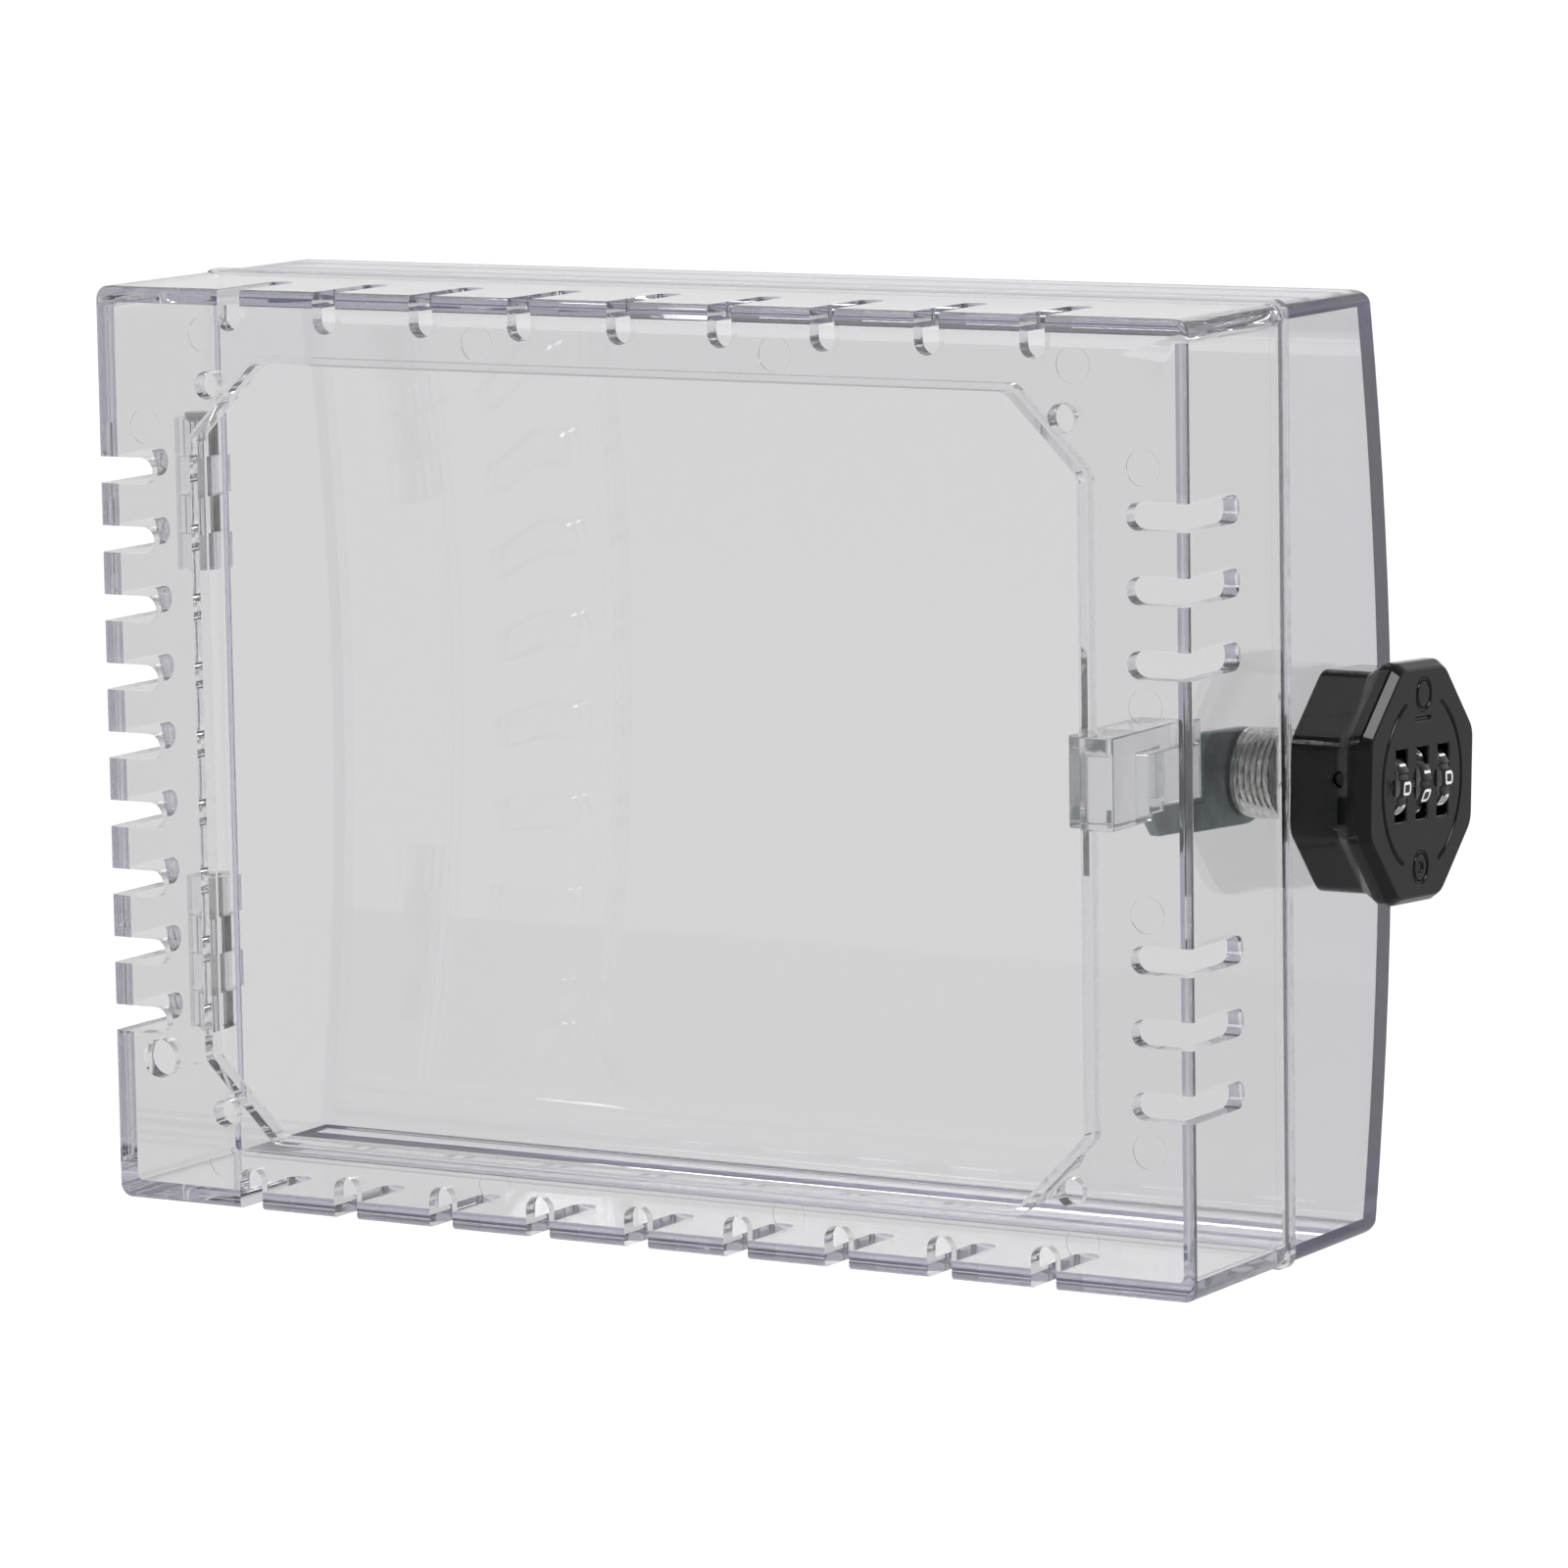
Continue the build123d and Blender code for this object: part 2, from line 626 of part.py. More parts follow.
# Front of the knob with the three windows
with BuildPart() as knob_bezel:
    with BuildSketch(lock_plane(knob_ring_end)):
        add(octagon(ring_apothem, knob_corner))
    extrude(amount=knob_split - knob_ring_end)
    with BuildSketch(lock_plane(knob_face)):
        add(octagon(face_apothem, knob_corner))
    with BuildSketch(lock_plane(knob_ring_end)):
        add(octagon(ring_apothem, knob_corner))
    loft()
    with BuildSketch(lock_plane(knob_inside_face)):
        add(octagon(inside_apothem, cavity_corner))
    extrude(amount=knob_split - knob_inside_face, mode=Mode.SUBTRACT)
    # Locating skirt inside the sleeve
    with BuildSketch(lock_plane(knob_split)):
        add(octagon(cavity_apothem, cavity_corner))
        add(octagon(inside_apothem, cavity_corner), mode=Mode.SUBTRACT)
    extrude(amount=skirt_length)
    # Two engraved arcs beside the windows, a ring below them and a ring with a bar above
    with BuildSketch(lock_plane(knob_face)):
        for side in (0, 180):
            with BuildLine():
                CenterArc((0, 0), arc_radius, side - arc_half_angle, 2 * arc_half_angle)
                offset(amount=arc_line / 2, side=Side.BOTH)
            make_face()
        with Locations((0, -sign_height), (0, sign_height + sign_line)):
            Circle(sign_radius)
            Circle(sign_radius - sign_line, mode=Mode.SUBTRACT)
        with Locations((0, -sign_height)):
            Circle(sign_radius / 3)
        with Locations((0, sign_height - sign_radius - sign_line)):
            Rectangle(2 * sign_radius, sign_line)
        # Pointer to the line where the digits are read
        with BuildLine():
            Polyline(
                (pointer_tip, 0), (pointer_base, pointer_half), (pointer_base, -pointer_half), close=True
            )
        make_face()
    extrude(amount=engraving_depth, mode=Mode.SUBTRACT)
    # Ribs that carry the dial axle
    for side in (-1, 1):
        with BuildSketch(lock_plane(knob_inside_face)):
            with Locations((side * (rib_inner + rib_outer) / 2, (rib_low + rib_high) / 2)):
                Rectangle(rib_outer - rib_inner, rib_high - rib_low)
        extrude(amount=rib_length)
        # Bosses for the screws of the back plate
        with BuildSketch(lock_plane(knob_inside_face)):
            with Locations((side * boss_y, boss_z)):
                Circle(boss_radius)
        extrude(amount=spindle_flange_front - knob_inside_face)
        with BuildSketch(lock_plane(spindle_flange_front - knob_screw_length - 1)):
            with Locations((side * boss_y, boss_z)):
                Circle(knob_screw_radius)
        extrude(amount=knob_screw_length + 2, mode=Mode.SUBTRACT)
    with BuildSketch(dial_plane(20)):
        Circle(axle_radius)
        with Locations((4, 0)):
            Rectangle(8, 2 * axle_radius)
    extrude(amount=40, mode=Mode.SUBTRACT)
    # Clearance for the sleeves behind the front wall
    with BuildSketch(dial_plane(rib_inner)):
        Circle(sleeve_radius + dial_relief)
    extrude(amount=2 * rib_inner, mode=Mode.SUBTRACT)
    # Windows with round clearance for the dials
    for offset in dial_offsets:
        with BuildSketch(lock_plane(knob_face - 1)):
            with Locations((offset, 0)):
                Rectangle(window_width, window_height)
        extrude(amount=knob_inside_face - knob_face + 1, mode=Mode.SUBTRACT)
        with BuildSketch(dial_plane(offset + window_width / 2)):
            Circle(dial_radius + dial_relief)
        extrude(amount=window_width, mode=Mode.SUBTRACT)

# Plate that closes the knob towards the wall of the cover
with BuildPart() as knob_back:
    with BuildSketch(lock_plane(spindle_flange_front)):
        add(octagon(cavity_apothem, cavity_corner))
        Rectangle(drive_square, drive_square, mode=Mode.SUBTRACT)
        with Locations((boss_y, boss_z), (-boss_y, boss_z)):
            Circle(knob_screw_radius + 0.2, mode=Mode.SUBTRACT)
    extrude(amount=back_plate_thick)
    with BuildSketch(lock_plane(knob_rear - knob_screw_sunk)):
        with Locations((boss_y, boss_z), (-boss_y, boss_z)):
            Circle(knob_screw_head + 0.2)
    extrude(amount=knob_screw_sunk + 1, mode=Mode.SUBTRACT)


# Screw that holds the back plate, at one side of the knob
def build_knob_screw(side):
    tip = spindle_flange_front - knob_screw_length
    with BuildPart() as screw:
        with BuildSketch(lock_plane(knob_rear - knob_screw_sunk)):
            with Locations((side * boss_y, boss_z)):
                Circle(knob_screw_head)
        extrude(amount=knob_screw_head_thick)
        with BuildSketch(lock_plane(tip)):
            with Locations((side * boss_y, boss_z)):
                Circle(knob_screw_radius)
        extrude(amount=knob_rear - knob_screw_sunk - tip)
    return screw.part


with BuildPart() as knob_screw_left:
    add(build_knob_screw(1))

with BuildPart() as knob_screw_right:
    add(build_knob_screw(-1))

# Axle of the dials
with BuildPart() as dial_axle:
    with BuildSketch(dial_plane(rib_outer)):
        Circle(axle_radius)
    extrude(amount=2 * rib_outer)

# Lock bar above the sleeves, one tooth for each dial
tooth_low = sleeve_radius + 0.5
bar_height = 1.4
with BuildPart() as lock_bar:
    with BuildSketch(lock_plane(bar_start)):
        with Locations((0, rib_high + bar_height / 2)):
            Rectangle(2 * bar_half, bar_height)
        for offset in dial_offsets:
            with Locations((offset + 3.0, (tooth_low + rib_high + 0.5) / 2)):
                Rectangle(1.0, rib_high + 0.5 - tooth_low)
    extrude(amount=2.0)

# Bowed leaf that presses on the lock bar
leaf_thick = 0.4
leaf_low = rib_high + bar_height
leaf_half = 7.0
leaf_high = inside_apothem - 0.1
with BuildPart() as lock_bar_spring:
    with BuildSketch(lock_plane(bar_start + 0.2)):
        with BuildLine():
            leaf_foot = leaf_half - leaf_thick
            ThreePointArc((-leaf_half, leaf_low), (0, leaf_high), (leaf_half, leaf_low))
            Line((leaf_half, leaf_low), (leaf_foot, leaf_low))
            ThreePointArc((leaf_foot, leaf_low), (0, leaf_high - leaf_thick), (-leaf_foot, leaf_low))
            Line((-leaf_foot, leaf_low), (-leaf_half, leaf_low))
        make_face()
    extrude(amount=1.6)

# Comb of three leaf fingers under the dials
comb_length = 5.2
comb_gap = 3.8
comb_thick = 0.5
with BuildPart() as detent_spring:
    with BuildSketch(Plane.XY.offset(lock_z + rib_low - comb_thick)):
        with Locations((bar_start + comb_length / 2, lock_y)):
            Rectangle(comb_length, 2 * bar_half)
        for offset in (-dial_pitch / 2, dial_pitch / 2):
            with Locations((bar_start + comb_gap / 2, lock_y + offset)):
                Rectangle(comb_gap, 1.4, mode=Mode.SUBTRACT)
    extrude(amount=comb_thick)


# One dial wheel with ten grip grooves between the digits
def dial_section():
    with BuildSketch() as section:
        Circle(dial_radius)
        Circle(sleeve_radius, mode=Mode.SUBTRACT)
        with PolarLocations(dial_radius, dial_digits, start_angle=18):
            Rectangle(2 * groove_depth, groove_width, mode=Mode.SUBTRACT)
        with Locations((sleeve_radius, 0)):
            Rectangle(2 * key_depth, key_width, mode=Mode.SUBTRACT)
    return section.sketch


# Sleeve inside a dial, with a key and the gate for the lock bar
def sleeve_section(with_key):
    with BuildSketch() as section:
        Circle(sleeve_radius)
        if with_key:
            with Locations((sleeve_radius, 0)):
                Rectangle(2 * key_depth, key_width)
        Circle(axle_radius + axle_clearance, mode=Mode.SUBTRACT)
    return section.sketch


with BuildPart() as dial_1:
    with BuildSketch(dial_plane(dial_offsets[0] + dial_width / 2)):
        add(dial_section())
    extrude(amount=dial_width)

with BuildPart() as dial_2:
    with BuildSketch(dial_plane(dial_offsets[1] + dial_width / 2)):
        add(dial_section())
    extrude(amount=dial_width)

with BuildPart() as dial_3:
    with BuildSketch(dial_plane(dial_offsets[2] + dial_width / 2)):
        add(dial_section())
    extrude(amount=dial_width)


# Sleeve solid for one dial position
def build_sleeve(offset):
    with BuildPart() as sleeve:
        with BuildSketch(dial_plane(offset + sleeve_half_length)):
            add(sleeve_section(False))
        extrude(amount=2 * sleeve_half_length)
        with BuildSketch(dial_plane(offset + dial_width / 2)):
            add(sleeve_section(True))
        extrude(amount=dial_width)
        # Gate in the rim beside the dial
        with BuildSketch(dial_plane(offset + sleeve_half_length)):
            with Locations((-sleeve_radius, 0)):
                Rectangle(2 * gate_depth, gate_width)
        extrude(amount=sleeve_half_length - dial_width / 2, mode=Mode.SUBTRACT)
    return sleeve.part


with BuildPart() as dial_sleeve_1:
    add(build_sleeve(dial_offsets[0]))

with BuildPart() as dial_sleeve_2:
    add(build_sleeve(dial_offsets[1]))

with BuildPart() as dial_sleeve_3:
    add(build_sleeve(dial_offsets[2]))

# Recessed pin that is pushed to set a new combination
with BuildPart() as reset_pin:
    with BuildSketch(reset_plane(lock_y + cavity_apothem - 0.7)):
        Circle(1.5)
    extrude(amount=0.6)
    with BuildSketch(reset_plane(lock_y + cavity_apothem - 0.7)):
        Circle(reset_hole - 0.1)
    extrude(amount=2.5)

pieces = {
    "base_tray": base_tray,
    "latch_keeper": latch_keeper,
    "hinge_pin_upper": hinge_pin_upper,
    "hinge_pin_lower": hinge_pin_lower,
    "cover_shell": cover_shell,
    "lock_barrel": lock_barrel,
    "retaining_washer": retaining_washer,
    "spindle": spindle,
    "cam_plate": cam_plate,
    "cam_washer": cam_washer,
    "cam_screw": cam_screw,
    "knob_body": knob_body,
    "knob_bezel": knob_bezel,
    "knob_back": knob_back,
    "knob_screw_left": knob_screw_left,
    "knob_screw_right": knob_screw_right,
    "dial_axle": dial_axle,
    "lock_bar": lock_bar,
    "lock_bar_spring": lock_bar_spring,
    "detent_spring": detent_spring,
    "dial_1": dial_1,
    "dial_2": dial_2,
    "dial_3": dial_3,
    "dial_sleeve_1": dial_sleeve_1,
    "dial_sleeve_2": dial_sleeve_2,
    "dial_sleeve_3": dial_sleeve_3,
    "reset_pin": reset_pin,
}

# The knob and all that turns with it stand a few degrees past level at rest
box_pieces = [base_tray, latch_keeper, hinge_pin_upper, hinge_pin_lower]
box_pieces += [cover_shell, lock_barrel, retaining_washer]
lock_axis = Axis((0, lock_y, lock_z), (1, 0, 0))
for name, piece in pieces.items():
    solid = piece.part if piece in box_pieces else piece.part.rotate(lock_axis, rest_turn)
    solid.label = name
    export_step(solid, "parts/" + name + ".step")
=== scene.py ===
# %% [markdown]
# # Thermostat lock box
#
# A clear guard box that is screwed to a wall over a thermostat. The CAD model holds every solid at
# its real size. This lesson loads it as a fixed frame and gives it the looks: clear plastic with the
# faint blue of thick edges, a black moulded knob with printed dials, and bright turned metal.

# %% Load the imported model
import json
import math
import bmesh
import bpy
import numpy as np
from mathutils import Matrix, Vector


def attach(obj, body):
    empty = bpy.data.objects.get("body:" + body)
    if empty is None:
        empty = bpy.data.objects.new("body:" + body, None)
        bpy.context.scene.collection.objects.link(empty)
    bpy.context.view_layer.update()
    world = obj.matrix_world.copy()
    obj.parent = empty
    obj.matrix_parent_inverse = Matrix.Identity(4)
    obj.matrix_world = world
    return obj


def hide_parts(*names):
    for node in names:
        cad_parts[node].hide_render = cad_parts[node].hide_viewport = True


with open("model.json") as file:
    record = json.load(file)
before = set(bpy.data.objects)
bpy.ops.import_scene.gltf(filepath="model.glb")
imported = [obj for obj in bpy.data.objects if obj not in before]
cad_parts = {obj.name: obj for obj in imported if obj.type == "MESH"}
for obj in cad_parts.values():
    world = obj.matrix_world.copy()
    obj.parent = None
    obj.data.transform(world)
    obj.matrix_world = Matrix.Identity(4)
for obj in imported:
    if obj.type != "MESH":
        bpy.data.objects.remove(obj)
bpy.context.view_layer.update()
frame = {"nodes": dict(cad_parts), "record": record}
nodes = frame["nodes"]
record = frame["record"]
scene = bpy.context.scene
MM = 0.001
body_of = {node: body for body, members in record["behaviour"]["bodies"].items() for node in members}
joint_place = {row["name"]: row["pos_m"] for row in record["behaviour"]["joints"] if "pos_m" in row}
print("nodes:", len(nodes), "bodies:", len(set(body_of.values())))

# %% [markdown]
# ## Camera
#
# The photograph looks at the back of the box, from the lock side and a little from above, with a
# long lens that keeps the sides almost parallel. The place and turn come from fitting the corners of
# the box, so the camera is set from a position, three angles and a focal length, with no shift.

# %% Camera
CAMERA_PLACE = (-0.721856, 1.165790, 0.192685)
CAMERA_TURN = (81.9444, 0.94695, -149.4994)
CAMERA_LENS = 184.115

camera_data = bpy.data.cameras.new("photo_camera")
camera_data.lens = CAMERA_LENS
camera_data.sensor_width = 36.0
camera_data.clip_start = 0.01
camera_data.clip_end = 200.0
camera = bpy.data.objects.new("photo_camera", camera_data)
camera.location = CAMERA_PLACE
camera.rotation_euler = [math.radians(a) for a in CAMERA_TURN]
scene.collection.objects.link(camera)
scene.camera = camera
print("lens:", CAMERA_LENS, "mm")

# %% [markdown]
# ## Room
#
# Clear plastic shows nothing of its own: it shows what is behind it and what it mirrors. So the room
# matters more than the shader. The camera sees a white page. Rays that have been through plastic or
# were mirrored meet darker pages of their own, as a photographer's grey cards would be, because that
# is what makes a colourless box readable on white and keeps the black knob black. These pages are
# darker overhead and behind the camera than along the horizon, so each face of the box gets a tone of
# its own.


# %% Shader helpers
def feed(tree, socket, value):
    """Puts a number on a socket, or links it where value is another socket."""
    if isinstance(value, (int, float)):
        socket.default_value = value
    else:
        tree.links.new(value, socket)


def math_node(tree, operation, *values):
    """One Math node on two or three values, each a number or a socket."""
    node = tree.nodes.new("ShaderNodeMath")
    node.operation = operation
    for socket, value in zip(node.inputs, values):
        feed(tree, socket, value)
    return node.outputs[0]


def lit_page(tree, kind, strength):
    """A flat light, as a background or as an emission. strength is a number or a socket."""
    page = tree.nodes.new(kind)
    page.inputs["Color"].default_value = (1, 1, 1, 1)
    feed(tree, page.inputs["Strength"], strength)
    return page.outputs[0]


def spread(tree, value, limits, at_low, at_high):
    """Straight change from at_low to at_high while value goes through its limits, held outside them."""
    node = tree.nodes.new("ShaderNodeMapRange")
    for socket, number in zip(node.inputs, (value, *limits, at_low, at_high)):
        feed(tree, socket, number)
    return node.outputs[0]


def choose(tree, factor, first, second):
    """The first shader where factor is 0 and the second where it is 1."""
    mix = tree.nodes.new("ShaderNodeMixShader")
    for socket, value in zip(mix.inputs, (factor, first, second)):
        feed(tree, socket, value)
    return mix.outputs[0]


# %% Pages
# A ray's direction has three parts from -1 to 1. A graded page goes from its horizon value to its
# overhead value while Z runs through GRADE_HEIGHTS, and down to the share BEHIND_CAMERA of that while
# Y runs through GRADE_DEPTHS.
GRADE_HEIGHTS = (0.1, 0.85)
GRADE_DEPTHS = (-0.4, 0.6)
BEHIND_CAMERA = 0.45


def graded_room(tree, horizon, overhead):
    """Brightness that runs from horizon to overhead with height, and is lower behind the camera."""
    direction = tree.nodes.new("ShaderNodeSeparateXYZ")
    tree.links.new(tree.nodes.new("ShaderNodeTexCoord").outputs["Generated"], direction.inputs[0])
    by_height = spread(tree, direction.outputs["Z"], GRADE_HEIGHTS, horizon, overhead)
    by_depth = spread(tree, direction.outputs["Y"], GRADE_DEPTHS, 1.0, BEHIND_CAMERA)
    return math_node(tree, "MULTIPLY", by_height, by_depth)


def page_shader(tree, kind, camera_side, mirrored, through, rest):
    """Camera rays see camera_side, others rest, and rays off a mirror or through plastic their own pages."""
    path = tree.nodes.new("ShaderNodeLightPath")
    mirrored_page = lit_page(tree, kind, mirrored)
    through_page = lit_page(tree, kind, through)
    with_mirror = choose(tree, path.outputs["Is Glossy Ray"], rest, mirrored_page)
    with_through = choose(tree, path.outputs["Is Transmission Ray"], with_mirror, through_page)
    return choose(tree, path.outputs["Is Camera Ray"], with_through, camera_side)


print("pages darken over heights", GRADE_HEIGHTS, "and depths", GRADE_DEPTHS)

# %% World
PAGE_WHITE = 1.0
HORIZON_MIRRORED = 0.82
OVERHEAD_MIRRORED = 0.36
HORIZON_THROUGH = 0.88
OVERHEAD_THROUGH = 0.32
ROOM_LIGHT = 0.8

scene.world = bpy.data.worlds.new("studio")
scene.world.use_nodes = True
world_tree = scene.world.node_tree
world_tree.nodes.clear()
world_out = world_tree.nodes.new("ShaderNodeOutputWorld")
world_page = page_shader(
    world_tree,
    "ShaderNodeBackground",
    lit_page(world_tree, "ShaderNodeBackground", PAGE_WHITE),
    graded_room(world_tree, HORIZON_MIRRORED, OVERHEAD_MIRRORED),
    graded_room(world_tree, HORIZON_THROUGH, OVERHEAD_THROUGH),
    lit_page(world_tree, "ShaderNodeBackground", ROOM_LIGHT),
)
world_tree.links.new(world_page, world_out.inputs["Surface"])
print("world nodes:", len(world_tree.nodes))

# %% [markdown]
# ## Floor
#
# The floor is one wide sheet under the box. For the camera it is mostly the white page, with a share
# of plain matte paint mixed in, and only that share can show the object's soft shadow. It also has a
# page for mirrored rays and one for rays through plastic.

# %% Floor
FLOOR_HEIGHT = -0.24
FLOOR_SIZE = 60.0
FLOOR_COLOUR = (0.85, 0.85, 0.85)
FLOOR_SHADE = 0.35
FLOOR_GLOW = 1.22
FLOOR_MIRRORED = 0.5
FLOOR_THROUGH = 0.74

floor_mesh = bpy.data.meshes.new("floor")
floor_corners = np.array([(-1, -1), (1, -1), (1, 1), (-1, 1)]) * FLOOR_SIZE / 2
floor_mesh.from_pydata([(x, y, FLOOR_HEIGHT) for x, y in floor_corners.tolist()], [], [(0, 1, 2, 3)])
floor = bpy.data.objects.new("floor", floor_mesh)
scene.collection.objects.link(floor)
floor_paint = bpy.data.materials.new("floor_paint")
floor_paint.use_nodes = True
floor_tree = floor_paint.node_tree
floor_tree.nodes.clear()
floor_matte = floor_tree.nodes.new("ShaderNodeBsdfDiffuse")
floor_matte.inputs["Color"].default_value = (*FLOOR_COLOUR, 1)
floor_out = floor_tree.nodes.new("ShaderNodeOutputMaterial")
floor_white = choose(
    floor_tree,
    FLOOR_SHADE,
    lit_page(floor_tree, "ShaderNodeEmission", FLOOR_GLOW),
    floor_matte.outputs[0],
)
floor_page = page_shader(
    floor_tree,
    "ShaderNodeEmission",
    floor_white,
    FLOOR_MIRRORED,
    FLOOR_THROUGH,
    floor_matte.outputs[0],
)
floor_tree.links.new(floor_page, floor_out.inputs["Surface"])
floor_mesh.materials.append(floor_paint)
print("floor at", FLOOR_HEIGHT, "m")

# %% Bounces and colours
# A ray through the box meets many clear walls, so it may bounce often before it is given up.
scene.cycles.max_bounces = 64
scene.cycles.transmission_bounces = 48
scene.cycles.glossy_bounces = 48
scene.view_settings.view_transform = "Standard"
print("bounces:", scene.cycles.max_bounces, "colours:", scene.view_settings.view_transform)

# %% [markdown]
# ## Lamps
#
# Two soft panels light the box, as in a product studio. The one above is mirrored as bright lines on
# the black knob and along rounded edges. It isn't seen through plastic, where it would put white
# patches in the slots. The one beside the camera is seen through plastic, which gives the parts
# inside their glints, but not in a mirror, where it would draw a stripe low in the opening.


# %% Soft panels
def soft_panel(name, place, size, power, in_mirror, through_plastic):
    """A rectangular area lamp that faces the object. The last two say which rays can see it."""
    data = bpy.data.lights.new(name, "AREA")
    data.shape = "RECTANGLE"
    data.size, data.size_y = size
    data.energy = power
    lamp = bpy.data.objects.new(name, data)
    lamp.location = place
    lamp.rotation_euler = (-Vector(place)).to_track_quat("-Z", "Y").to_euler()
    lamp.visible_glossy = in_mirror
    lamp.visible_transmission = through_plastic
    scene.collection.objects.link(lamp)
    print(name, "radiance", round(power / (math.pi * size[0] * size[1]), 2))


soft_panel(
    "panel_above", place=(-0.75, 0.15, 1.15), size=(0.65, 0.65), power=9.0,
    in_mirror=True, through_plastic=False,
)
soft_panel(
    "panel_camera", place=(0.75, 1.42, 1.03), size=(0.7, 0.6), power=7.5,
    in_mirror=False, through_plastic=True,
)

# %% [markdown]
# ## Surface effects
#
# Moulded plastic is never perfectly flat and never perfectly clean. Two node groups give the
# materials their small faults. One makes slow waves, grain and fine scratches for the Normal. The
# other makes clouds, for the Roughness and the two tones of the opaque ones. Both are built once and
# placed in the materials with sizes that suit each.


# %% Node group helpers
def new_group(name, inputs, outputs):
    """An empty shader group with float inputs (name, value) and outputs (name, kind)."""
    group = bpy.data.node_groups.new(name, "ShaderNodeTree")
    for label, value in inputs:
        socket = group.interface.new_socket(name=label, in_out="INPUT", socket_type="NodeSocketFloat")
        socket.default_value = value
    for label, kind in outputs:
        group.interface.new_socket(name=label, in_out="OUTPUT", socket_type=kind)
    return group, group.nodes.new("NodeGroupInput"), group.nodes.new("NodeGroupOutput")


def noise(tree, vector, scale, detail, roughness=0.5):
    """A Noise Texture on the given coordinates. scale is a number or a socket."""
    node = tree.nodes.new("ShaderNodeTexNoise")
    node.inputs["Detail"].default_value = detail
    node.inputs["Roughness"].default_value = roughness
    tree.links.new(vector, node.inputs["Vector"])
    feed(tree, node.inputs["Scale"], scale)
    return node.outputs[0]


def scaled(tree, vector, scales):
    """Coordinates stretched by three numbers with a Mapping node."""
    node = tree.nodes.new("ShaderNodeMapping")
    node.inputs["Scale"].default_value = scales
    tree.links.new(vector, node.inputs["Vector"])
    return node.outputs[0]


# %% Waves, grain and scratches
HAIR_STRETCH = (60.0, 60.0, 2600.0)
HAIR_FROM = 0.68


def build_surface_normal():
    """Slow waves + grain + sparse hair scratches, added as heights in metres and turned into a normal."""
    group, gin, gout = new_group(
        "surface_normal",
        [("Wave size", 0.015), ("Wave height", 0.00002), ("Grain size", 0.0006), ("Grain height", 0.0),
         ("Scratch height", 0.0)],
        [("Normal", "NodeSocketVector")],
    )
    coords = group.nodes.new("ShaderNodeTexCoord").outputs["Object"]
    wave_scale = math_node(group, "DIVIDE", 1.0, gin.outputs["Wave size"])
    grain_scale = math_node(group, "DIVIDE", 1.0, gin.outputs["Grain size"])
    wave = noise(group, coords, wave_scale, detail=1.0)
    grain = noise(group, coords, grain_scale, detail=3.0, roughness=0.6)
    hair = noise(group, scaled(group, coords, HAIR_STRETCH), 1.0, detail=1.0)
    thin = math_node(group, "GREATER_THAN", hair, HAIR_FROM)
    height = math_node(group, "MULTIPLY", wave, gin.outputs["Wave height"])
    height = math_node(group, "MULTIPLY_ADD", grain, gin.outputs["Grain height"], height)
    height = math_node(group, "MULTIPLY_ADD", thin, gin.outputs["Scratch height"], height)
    bump = group.nodes.new("ShaderNodeBump")
    bump.inputs["Strength"].default_value = 1.0
    bump.inputs["Distance"].default_value = 1.0
    group.links.new(height, bump.inputs["Height"])
    group.links.new(bump.outputs[0], gout.inputs["Normal"])
    return group


surface_normal = build_surface_normal()
print(surface_normal.name, "nodes:", len(surface_normal.nodes))

# %% Clouds and dust
SPECK_SCALE = 1400.0
SPECK_FROM = 0.74


def build_cloudy_value():
    """Base + Swing * (noise - 0.5), with a second finer noise for dust, as a value."""
    group, gin, gout = new_group(
        "cloudy_value",
        [("Base", 0.2), ("Swing", 0.1), ("Cloud size", 0.01), ("Dust", 0.0)],
        [("Value", "NodeSocketFloat"), ("Cloud", "NodeSocketFloat")],
    )
    coords = group.nodes.new("ShaderNodeTexCoord").outputs["Object"]
    cloud_scale = math_node(group, "DIVIDE", 1.0, gin.outputs["Cloud size"])
    cloud = noise(group, coords, cloud_scale, detail=4.0, roughness=0.6)
    fine = noise(group, coords, SPECK_SCALE, detail=1.0)
    specks = math_node(group, "GREATER_THAN", fine, SPECK_FROM)
    centred = math_node(group, "SUBTRACT", cloud, 0.5)
    value = math_node(group, "MULTIPLY_ADD", centred, gin.outputs["Swing"], gin.outputs["Base"])
    value = math_node(group, "MULTIPLY_ADD", specks, gin.outputs["Dust"], value)
    clamp = group.nodes.new("ShaderNodeClamp")
    group.links.new(value, clamp.inputs["Value"])
    group.links.new(clamp.outputs[0], gout.inputs["Value"])
    group.links.new(cloud, gout.inputs["Cloud"])
    return group


cloudy_value = build_cloudy_value()
print(cloudy_value.name, "nodes:", len(cloudy_value.nodes))


# %% Material helpers
def new_material(name):
    """A material with a Principled shader on its Surface. Gives it, its tree, the shader and the output."""
    material = bpy.data.materials.new(name)
    material.use_nodes = True
    tree = material.node_tree
    tree.nodes.clear()
    out = tree.nodes.new("ShaderNodeOutputMaterial")
    shader = tree.nodes.new("ShaderNodeBsdfPrincipled")
    tree.links.new(shader.outputs[0], out.inputs["Surface"])
    return material, tree, shader, out


def place_group(tree, group, **values):
    """A group node with its inputs set. Input names use spaces where the keyword has underscores."""
    node = tree.nodes.new("ShaderNodeGroup")
    node.node_tree = group
    for key, value in values.items():
        node.inputs[key.replace("_", " ")].default_value = value
    return node


